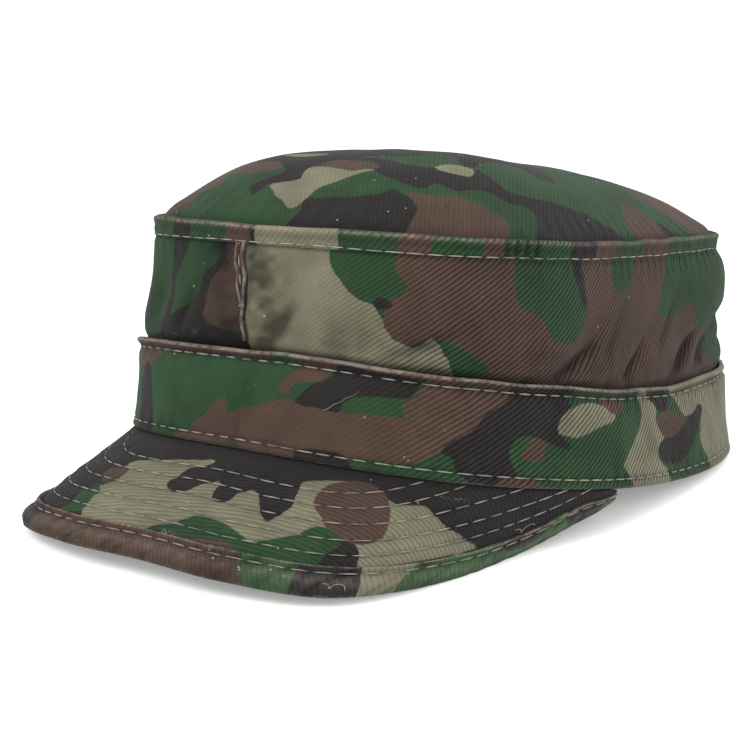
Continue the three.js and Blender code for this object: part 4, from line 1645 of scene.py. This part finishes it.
    def up(self, side: np.ndarray, share: np.ndarray) -> np.ndarray:
        """Directions out of the upper face.

        Args:
            side: sides from -1 to 1.
            share: shares of the way to the edge.

        Returns:
            Unit vectors.
        """
        step = 0.01
        aside = (self.face_point(np.minimum(side + step, 1), share)
                 - self.face_point(np.maximum(side - step, -1), share))
        ahead = self.face_point(side, share + step) - self.face_point(side, share - step)
        return unit(np.cross(ahead, aside))

    def lip_share(self, side: np.ndarray) -> np.ndarray:
        """Share of the line at which the bound edge starts."""
        return 1 - self.binding_width * self.left(side) / self.line(side)[2]

    def row_inset(self, row: float, side: np.ndarray) -> np.ndarray:
        """Distance of a stitched row from the outer edge; inner rows draw in towards the sides."""
        drawn_in = max(row - self.even_rows, 0) / self.even_rows
        return row + self.draw_in * drawn_in ** 2 * smoothstep(np.abs(side), 0.2, 0.55)

    def quilting(self, side: np.ndarray, share: np.ndarray) -> tuple[np.ndarray, np.ndarray]:
        """Relief of the stitched rows on the upper face, and how near each place is to a stitch.

        Args:
            side: sides from -1 to 1.
            share: shares of the way to the edge.

        Returns:
            The relief in mm, and a nearness from 0 to 1.
        """
        length = self.line(side)[2]
        inward = (1 - share) * length
        point = self.face_point(side, share)
        steps = np.linalg.norm(np.diff(point[:, -1], axis=0), axis=1)
        run = np.concatenate([[0], np.cumsum(steps)])[:, None]
        place = point[..., :2] + NOISE_SHIFT
        drift = self.row_drift.relief(place)
        relief = np.zeros(share.shape)
        near = np.zeros(share.shape)
        for row in self.stitch_rows:
            distance = inward - self.row_inset(row, side)
            wave = np.sin(TAU * run / self.pitch + drift)
            relief -= bell(distance, 0.9) * (self.row_depth + self.row_pull * wave)
            relief += self.row_puff * wave * bell(distance - 1.5, 1.8)
            near += bell(distance, 0.75)
        ends = smoothstep(share, 0.0, 0.06)
        return (relief + self.unevenness.relief(place)) * ends * self.left(side), np.clip(near, 0, 1)

    def sheet(self) -> ClothSheet:
        """The peak's cloth over its stiffener, upper face first.

        Returns:
            The cloth.
        """
        sides = np.linspace(1, -1, self.columns)
        part = np.linspace(0, 1, 52)
        lip = (self.lip_share(sides) - GAP / self.line(sides)[2])[:, None]
        side, share = np.broadcast_arrays(sides[:, None], lip * part[None, :])
        side = side.copy()
        share = share.copy()
        up = self.up(side, share)
        relief, near = self.quilting(side, share)
        upper = self.face_point(side, share) + up * relief[..., None]
        depth = self.thickness * self.left(side)
        lower = self.face_point(side, share) - up * depth[..., None] + up * (0.5 * relief)[..., None]
        root_angle = self.root_angle * sides + self.root_spread * np.sin(math.pi * sides)
        rims = []
        for under in (0, self.thickness):
            rim = wall(HEM, BAND_TOP, root_angle, 0.0, self.root_inset)
            rim[:, 2] -= GAP + under * self.left(sides)
            rims.append(rim[:, None])
        outer = np.concatenate([rims[0], upper], axis=1)
        inner = np.concatenate([rims[1], lower], axis=1)
        plan = outer[..., :2]
        marks = WOODLAND.marks(outer, plan, PEAK_CHART)
        near = np.concatenate([near[:, :1], near], axis=1)
        root_shade = np.concatenate([np.ones((self.columns, 1)), 1 - smoothstep(share, 0.0, 0.08)], axis=1)
        marks["wear_and_highlight"] = np.zeros(near.shape)
        # Painted shade along the stitched rows and where the peak meets the band
        marks["shade"] = np.clip(0.2 * near + 0.45 * root_shade, 0, 0.7)
        marks["weave"] = np.full(near.shape, 0.4)
        return ClothSheet("peak_cloth", outer, inner, plan.copy(), marks)

    def binding_sheet(self) -> ClothSheet:
        """Cloth bound round the peak's free edge, upper face first.

        Returns:
            The cloth.
        """
        sides = np.linspace(1, -1, self.binding_columns)
        across = steps_at(((0.0, 0.2, 8), (0.2, 0.8, 10), (0.8, 1.0, 8)))
        side, part = np.meshgrid(sides, across, indexing="ij")
        lip = self.lip_share(side)
        share = lip + part * (1 - lip)
        up = self.up(side, share)
        point = self.face_point(side, share)
        place = point[..., :2] + NOISE_SHIFT
        along = side * self.edge_length
        inward = part * self.binding_width
        ripple = np.sin(TAU * along / self.ripple_pitch + self.ripple_drift.relief(place))
        body = smoothstep(part, 0.08, 0.3) * (1 - smoothstep(part, 0.85, 1.0))
        uneven = body * (self.ripple_depth * ripple + self.binding_lumps.relief(place))
        stitch = bell((part - 0.26) * self.binding_width, 0.7)
        lip_wave = self.lip_waves.relief(place) * (1 - smoothstep(part, 0.1, 0.2)) * (part > 0)
        lift = section(self.binding_face, part) + uneven - 0.3 * stitch + lip_wave
        left = self.left(side)
        upper = point + up * (lift * left)[..., None]
        lower = point + up * (section(self.binding_back, part) * left)[..., None]
        turn = np.degrees(np.arctan2(point[..., 0], self.centre - point[..., 1]))
        lay = np.stack([along, inward], axis=-1)
        marks = WOODLAND.marks(upper, np.stack([turn, inward], axis=-1), BINDING_CHART)
        slant = np.stack([along + 1.3 * inward + SHADE_NOISE_SHIFT, part * 1.5 + 7], axis=-1)
        wrinkle_shade = np.clip(self.wrinkles.at(slant) - 0.05, 0, 1)
        # Paler along the rolled lip, which is worn and carries a painted highlight, and a little worn across
        # the middle
        marks["wear_and_highlight"] = 0.8 * bell(part - 0.07, 0.035) + 0.2 * bell(part - 0.62, 0.2)
        # Painted shade along the stitch line, towards the outer edge where the binding turns under, and in
        # diagonal wrinkles
        marks["shade"] = np.clip(0.3 * stitch + 0.2 * smoothstep(part, 0.6, 1.0) + 0.5 * wrinkle_shade, 0, 0.7)
        marks["weave"] = np.full(part.shape, 0.2)
        return ClothSheet("binding_cloth", upper, lower, lay, marks)


class StitchSewer:
    """Geometry Nodes that lay a stitch at each step of a path."""

    INPUTS = (("Pitch", 0.0055, "NodeSocketFloat"), ("Length", 0.0044, "NodeSocketFloat"),
              ("Thread", 0.00034, "NodeSocketFloat"), ("Seed", 1, "NodeSocketInt"))
    SIDES = 8
    RINGS = 7
    LENGTHS = (0.86, 1.1)

    def __init__(self, thread: bpy.types.Material) -> None:
        """Build the tree once for all rows."""
        self.thread = thread
        self.tree = self.build()

    def build(self) -> bpy.types.NodeTree:
        """Tree with named inputs for the stitch's sizes.

        Returns:
            The node tree.
        """
        tree = bpy.data.node_groups.new("stitch_row", "GeometryNodeTree")
        tree.interface.new_socket("Path", in_out="INPUT", socket_type="NodeSocketGeometry")
        for name, value, kind in self.INPUTS:
            socket = tree.interface.new_socket(name, in_out="INPUT", socket_type=kind)
            socket.default_value = value
        tree.interface.new_socket("Stitches", in_out="OUTPUT", socket_type="NodeSocketGeometry")
        nodes, links = tree.nodes, tree.links
        given = nodes.new("NodeGroupInput")
        result = nodes.new("NodeGroupOutput")
        resample = nodes.new("GeometryNodeResampleCurve")
        resample.mode = "LENGTH"
        stitch = nodes.new("GeometryNodeMeshUVSphere")
        stitch.inputs["Segments"].default_value = self.SIDES
        stitch.inputs["Rings"].default_value = self.RINGS
        stitch.inputs["Radius"].default_value = 1.0
        tangent = nodes.new("GeometryNodeInputTangent")
        align = nodes.new("FunctionNodeAlignRotationToVector")
        align.axis = "X"
        jitter = nodes.new("FunctionNodeRandomValue")
        jitter.data_type = "FLOAT"
        jitter.inputs[2].default_value, jitter.inputs[3].default_value = self.LENGTHS
        half = nodes.new("ShaderNodeMath")
        half.operation = "MULTIPLY"
        half.inputs[1].default_value = 0.5
        uneven = nodes.new("ShaderNodeMath")
        uneven.operation = "MULTIPLY"
        size = nodes.new("ShaderNodeCombineXYZ")
        place = nodes.new("GeometryNodeInstanceOnPoints")
        realize = nodes.new("GeometryNodeRealizeInstances")
        finish = nodes.new("GeometryNodeSetMaterial")
        finish.inputs["Material"].default_value = self.thread
        for source, output, target, entry in (
            (given, "Path", resample, "Curve"), (given, "Pitch", resample, "Length"),
            (given, "Seed", jitter, "Seed"), (given, "Length", half, 0), (half, 0, uneven, 0),
            (jitter, 1, uneven, 1), (uneven, 0, size, "X"), (given, "Thread", size, "Y"),
            (given, "Thread", size, "Z"), (tangent, 0, align, "Vector"), (resample, "Curve", place, "Points"),
            (stitch, "Mesh", place, "Instance"), (align, 0, place, "Rotation"), (size, 0, place, "Scale"),
            (place, "Instances", realize, "Geometry"), (realize, "Geometry", finish, "Geometry"),
            (finish, "Geometry", result, "Stitches"),
        ):
            links.new(source.outputs[output], target.inputs[entry])
        return tree

    def sew(self, name: str, paths: list[np.ndarray], pitch: float, length: float, thread: float,
            seed: int) -> bpy.types.Object:
        """Plain mesh of the stitches along some paths.

        Args:
            name: the piece's name.
            paths: points in mm of each path.
            pitch, length, thread: spacing, length and thread radius in mm.
            seed: picks the small differences between stitches.

        Returns:
            The piece.
        """
        curve = bpy.data.curves.new(name + "_path", "CURVE")
        curve.dimensions = "3D"
        for path in paths:
            placed = REST.place(path)
            spline = curve.splines.new("POLY")
            spline.points.add(len(placed) - 1)
            spline.points.foreach_set("co", np.column_stack([placed, np.ones(len(placed))]).ravel())
        guide = bpy.data.objects.new(name + "_path", curve)
        bpy.context.scene.collection.objects.link(guide)
        modifier = guide.modifiers.new("stitches", "NODES")
        modifier.node_group = self.tree
        chosen = {"Pitch": pitch * MM, "Length": length * MM, "Thread": thread * MM, "Seed": seed}
        for item in self.tree.interface.items_tree:
            if item.name in chosen:
                modifier[item.identifier] = chosen[item.name]
        seen = guide.evaluated_get(bpy.context.evaluated_depsgraph_get())
        mesh = bpy.data.meshes.new_from_object(seen)
        mesh.name = name
        mesh.polygons.foreach_set("use_smooth", np.ones(len(mesh.polygons), dtype=bool))
        guide.modifiers.remove(modifier)
        bpy.data.objects.remove(guide)
        piece = bpy.data.objects.new(name, mesh)
        bpy.context.scene.collection.objects.link(piece)
        return piece


class Lamp(NamedTuple):
    """Square lamp that faces the cap: name, place and width in m, and power in W."""

    name: str
    place: tuple[float, float, float]
    size: float
    power: float


@dataclass
class Studio:
    """Pale floor, soft lights and the camera.

    Attributes:
        turn, rise, roll: the camera's direction round the cap, over its hem's plane, and its roll.
        distance: from the camera to the point that it looks at, in mm.
        aside, above: that point's place beside and over the origin, in mm across the view.
        pixels_per_slope: focal length in pixels of the frame.
        frame_pixels, sensor: width of the frame in pixels and in mm.
        floor_radius, floor_bend, backdrop_height: the backdrop's level part, its bend and its top, in m.
        floor_grey, floor_glow: its colour and its own light.
        surround: strength of the light from all round.
        lamps: the lamps.
    """

    turn: float = math.radians(36.1)
    rise: float = math.radians(5.6)
    roll: float = math.radians(3.6)
    distance: float = 502.0
    aside: float = -22.9
    above: float = 19.7
    pixels_per_slope: float = 1514.0
    frame_pixels: float = 750.0
    sensor: float = 36.0
    floor_radius: float = 1.6
    floor_bend: float = 0.5
    backdrop_height: float = 1.2
    floor_grey: float = 0.86
    floor_glow: float = 0.25
    surround: float = 0.75
    lamps: tuple[Lamp, ...] = (
        Lamp("key", (-0.55, -0.95, 1.15), 0.9, 13.0),
        Lamp("fill", (1.2, -0.5, 0.8), 1.0, 6.5),
        Lamp("behind", (0.2, 1.1, 1.1), 0.9, 7.0),
    )

    def camera(self) -> None:
        """Camera at the photograph's angle to the cap."""
        sin_turn, cos_turn = math.sin(self.turn), math.cos(self.turn)
        sin_rise, cos_rise = math.sin(self.rise), math.cos(self.rise)
        back = np.array([sin_turn * cos_rise, -cos_turn * cos_rise, sin_rise])
        right = np.array([cos_turn, sin_turn, 0.0])
        up = np.cross(right, -back)
        rolled_right = math.cos(self.roll) * right + math.sin(self.roll) * up
        rolled_up = math.cos(self.roll) * up - math.sin(self.roll) * right
        centre = self.distance * back + self.aside * rolled_right + self.above * rolled_up
        turn = REST.turn()
        axes = turn @ np.stack([rolled_right, rolled_up, back], axis=1)
        placed = (turn @ centre + (0, REST.back, REST.up)) * MM
        data = bpy.data.cameras.new("camera")
        data.sensor_width = self.sensor
        data.lens = self.pixels_per_slope * self.sensor / self.frame_pixels
        data.clip_start = 0.01
        seat = bpy.data.objects.new("camera", data)
        seat.matrix_world = Matrix.Translation(placed) @ Matrix(axes.tolist()).to_4x4()
        bpy.context.scene.collection.objects.link(seat)
        bpy.context.scene.camera = seat

    def floor(self) -> None:
        """Pale bowl-shaped backdrop, level where the cap stands."""
        level, bend = self.floor_radius, self.floor_bend
        profile = [(0.0, 0.0), (0.5, 0.0), (level, 0.0)]
        for turn in np.linspace(0.1, math.pi / 2, 12):
            profile.append((level + bend * math.sin(turn), bend - bend * math.cos(turn)))
        profile.append((level + bend, self.backdrop_height))
        rounds = 96
        points = [(r * math.cos(TAU * i / rounds), r * math.sin(TAU * i / rounds), z)
                  for r, z in profile[1:] for i in range(rounds)]
        points.append((0.0, 0.0, 0.0))
        faces = [[i, (i + 1) % rounds, len(points) - 1] for i in range(rounds)]
        for ring in range(len(profile) - 2):
            for i in range(rounds):
                after = (i + 1) % rounds
                faces.append([ring * rounds + i, (ring + 1) * rounds + i, (ring + 1) * rounds + after,
                              ring * rounds + after])
        mesh = bpy.data.meshes.new("floor")
        mesh.from_pydata(points, [], faces)
        mesh.polygons.foreach_set("use_smooth", np.ones(len(mesh.polygons), dtype=bool))
        paint = Paint("pale_floor")
        paint.join((*[self.floor_grey] * 3, 1.0), paint.shader.inputs["Base Color"])
        paint.join(0.9, paint.shader.inputs["Roughness"])
        paint.join((1.0, 1.0, 1.0, 1.0), paint.shader.inputs["Emission Color"])
        paint.join(self.floor_glow, paint.shader.inputs["Emission Strength"])
        mesh.materials.append(paint.material)
        piece = bpy.data.objects.new("floor", mesh)
        bpy.context.scene.collection.objects.link(piece)

    def lights(self) -> None:
        """Soft lights and a pale surround."""
        world = bpy.data.worlds.new("surround")
        world.use_nodes = True
        background = world.node_tree.nodes["Background"]
        background.inputs["Color"].default_value = (1.0, 1.0, 1.0, 1.0)
        background.inputs["Strength"].default_value = self.surround
        bpy.context.scene.world = world
        for name, place, size, power in self.lamps:
            data = bpy.data.lights.new(name, "AREA")
            data.energy = power
            data.size = size
            lamp = bpy.data.objects.new(name, data)
            back = unit(np.array(place) - (0, 0, 0.05))
            right = unit(np.cross((0, 0, 1), back))
            axes = np.stack([right, np.cross(back, right), back], axis=1)
            lamp.matrix_world = Matrix.Translation(place) @ Matrix(axes.tolist()).to_4x4()
            bpy.context.scene.collection.objects.link(lamp)

    def build(self) -> None:
        """Camera, floor and lights."""
        self.camera()
        self.floor()
        self.lights()
        bpy.context.scene.view_settings.view_transform = "Standard"


@dataclass
class PatrolCap:
    """The whole cap: its cloths and its sewing."""

    band: Band
    side: CrownSide
    welt: TopWelt
    top: CrownTop
    peak: Peak

    def dress(self, sheet: ClothSheet, finish: TwillFinish, node: str) -> None:
        """Build a sheet in place of its solid.

        Args:
            sheet: the cloth.
            finish: its finish.
            node: the solid's node.
        """
        piece = sheet.build(finish.material())
        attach(piece, BODY)
        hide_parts(node)
        LOG.info("%s: %d faces", piece.name, len(piece.data.polygons))

    def cloths(self) -> None:
        """Every cloth of the cap."""
        side = self.side
        left_back = tuple(angle - TAU for angle in side.back_seam)
        self.dress(self.band.sheet(), TwillFinish("band_twill", 40), "band")
        self.dress(side.sheet("left_side_cloth", side.front_seam, side.back_seam, LEFT_SIDE_CHART),
                   TwillFinish("left_side_twill", 46), "side_panel_left")
        self.dress(side.sheet("right_side_cloth", left_back, side.front_seam, RIGHT_SIDE_CHART),
                   TwillFinish("right_side_twill", 46), "side_panel_right")
        seam_twill = TwillFinish("seam_twill", 46, relief=0.3)
        self.dress(side.seam_ridge("front_seam_ridge", side.front_seam), seam_twill, "front_seam")
        self.dress(side.seam_ridge("back_seam_ridge", side.back_seam), seam_twill, "back_seam")
        self.dress(self.welt.sheet(), TwillFinish("welt_twill", 48), "top_welt")
        self.dress(self.top.sheet(), TwillFinish("top_twill", 124, relief=0.6), "crown_top")
        self.dress(self.peak.sheet(), TwillFinish("peak_twill", 8), "peak")
        faded = TwillFinish("binding_twill", 60, green=linear(52, 76, 50), black=linear(40, 38, 38))
        self.dress(self.peak.binding_sheet(), faded, "peak_binding")

    def sewing(self) -> None:
        """Every visible row of stitches."""
        sewer = StitchSewer(ThreadFinish().material())
        turns = np.linspace(0, TAU, 900)
        band_rows = [self.band.point(turns, np.full(turns.shape, above), 0.1)
                     for above in (self.band.hem_stitch, self.band.lip_stitch)]
        welt_rows = [self.welt.stitch_line(turns)]
        peak_rows = []
        sides = np.linspace(-0.985, 0.985, 500)
        length = self.peak.line(sides)[2]
        for row in self.peak.stitch_rows:
            share = 1 - self.peak.row_inset(row, sides) / length
            there = share > 0.02
            point = self.peak.face_point(sides[there], share[there])
            peak_rows.append(point - 0.12 * self.peak.up(sides[there], share[there]))
        share = 1 - self.peak.binding_stitch * self.peak.left(sides) / length
        lift = (0.32 * self.peak.left(sides))[:, None]
        edge_row = self.peak.face_point(sides, share) + self.peak.up(sides, share) * lift
        seam_share = np.linspace(0.12, 0.96, 60)
        seam_rows = []
        for seam in (self.side.front_seam, self.side.back_seam):
            seam_rows.append(self.side.point(self.side.seam_angle(seam, seam_share), seam_share, 0.62))
        loose = [self.peak.loose_path(thread) for thread in self.peak.loose_ends]
        loose.append(self.band.snag())
        for name, rows, pitch, stitch, thread, seed in (
            ("loose_threads", loose, 0.45, 0.9, 0.075, 8),
            ("band_stitches", band_rows, self.band.pitch, 5.0, 0.19, 3),
            ("welt_stitches", welt_rows, self.welt.pucker_pitch, 4.9, 0.17, 4),
            ("peak_stitches", peak_rows, self.peak.pitch, 5.2, 0.17, 5),
            ("binding_stitches", [edge_row], self.peak.pitch, 5.0, 0.17, 6),
            ("seam_stitches", seam_rows, 4.4, 3.4, 0.14, 7),
        ):
            piece = sewer.sew(name, rows, pitch, stitch, thread, seed)
            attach(piece, BODY)
            LOG.info("%s: %d faces", name, len(piece.data.polygons))


def main() -> None:
    """Build the studio and the cap."""
    logging.basicConfig(level=logging.INFO, format="%(message)s")
    Studio().build()
    cap = PatrolCap(Band(), CrownSide(), TopWelt(), CrownTop(), Peak())
    cap.cloths()
    cap.sewing()


if __name__ == "__main__":
    main()
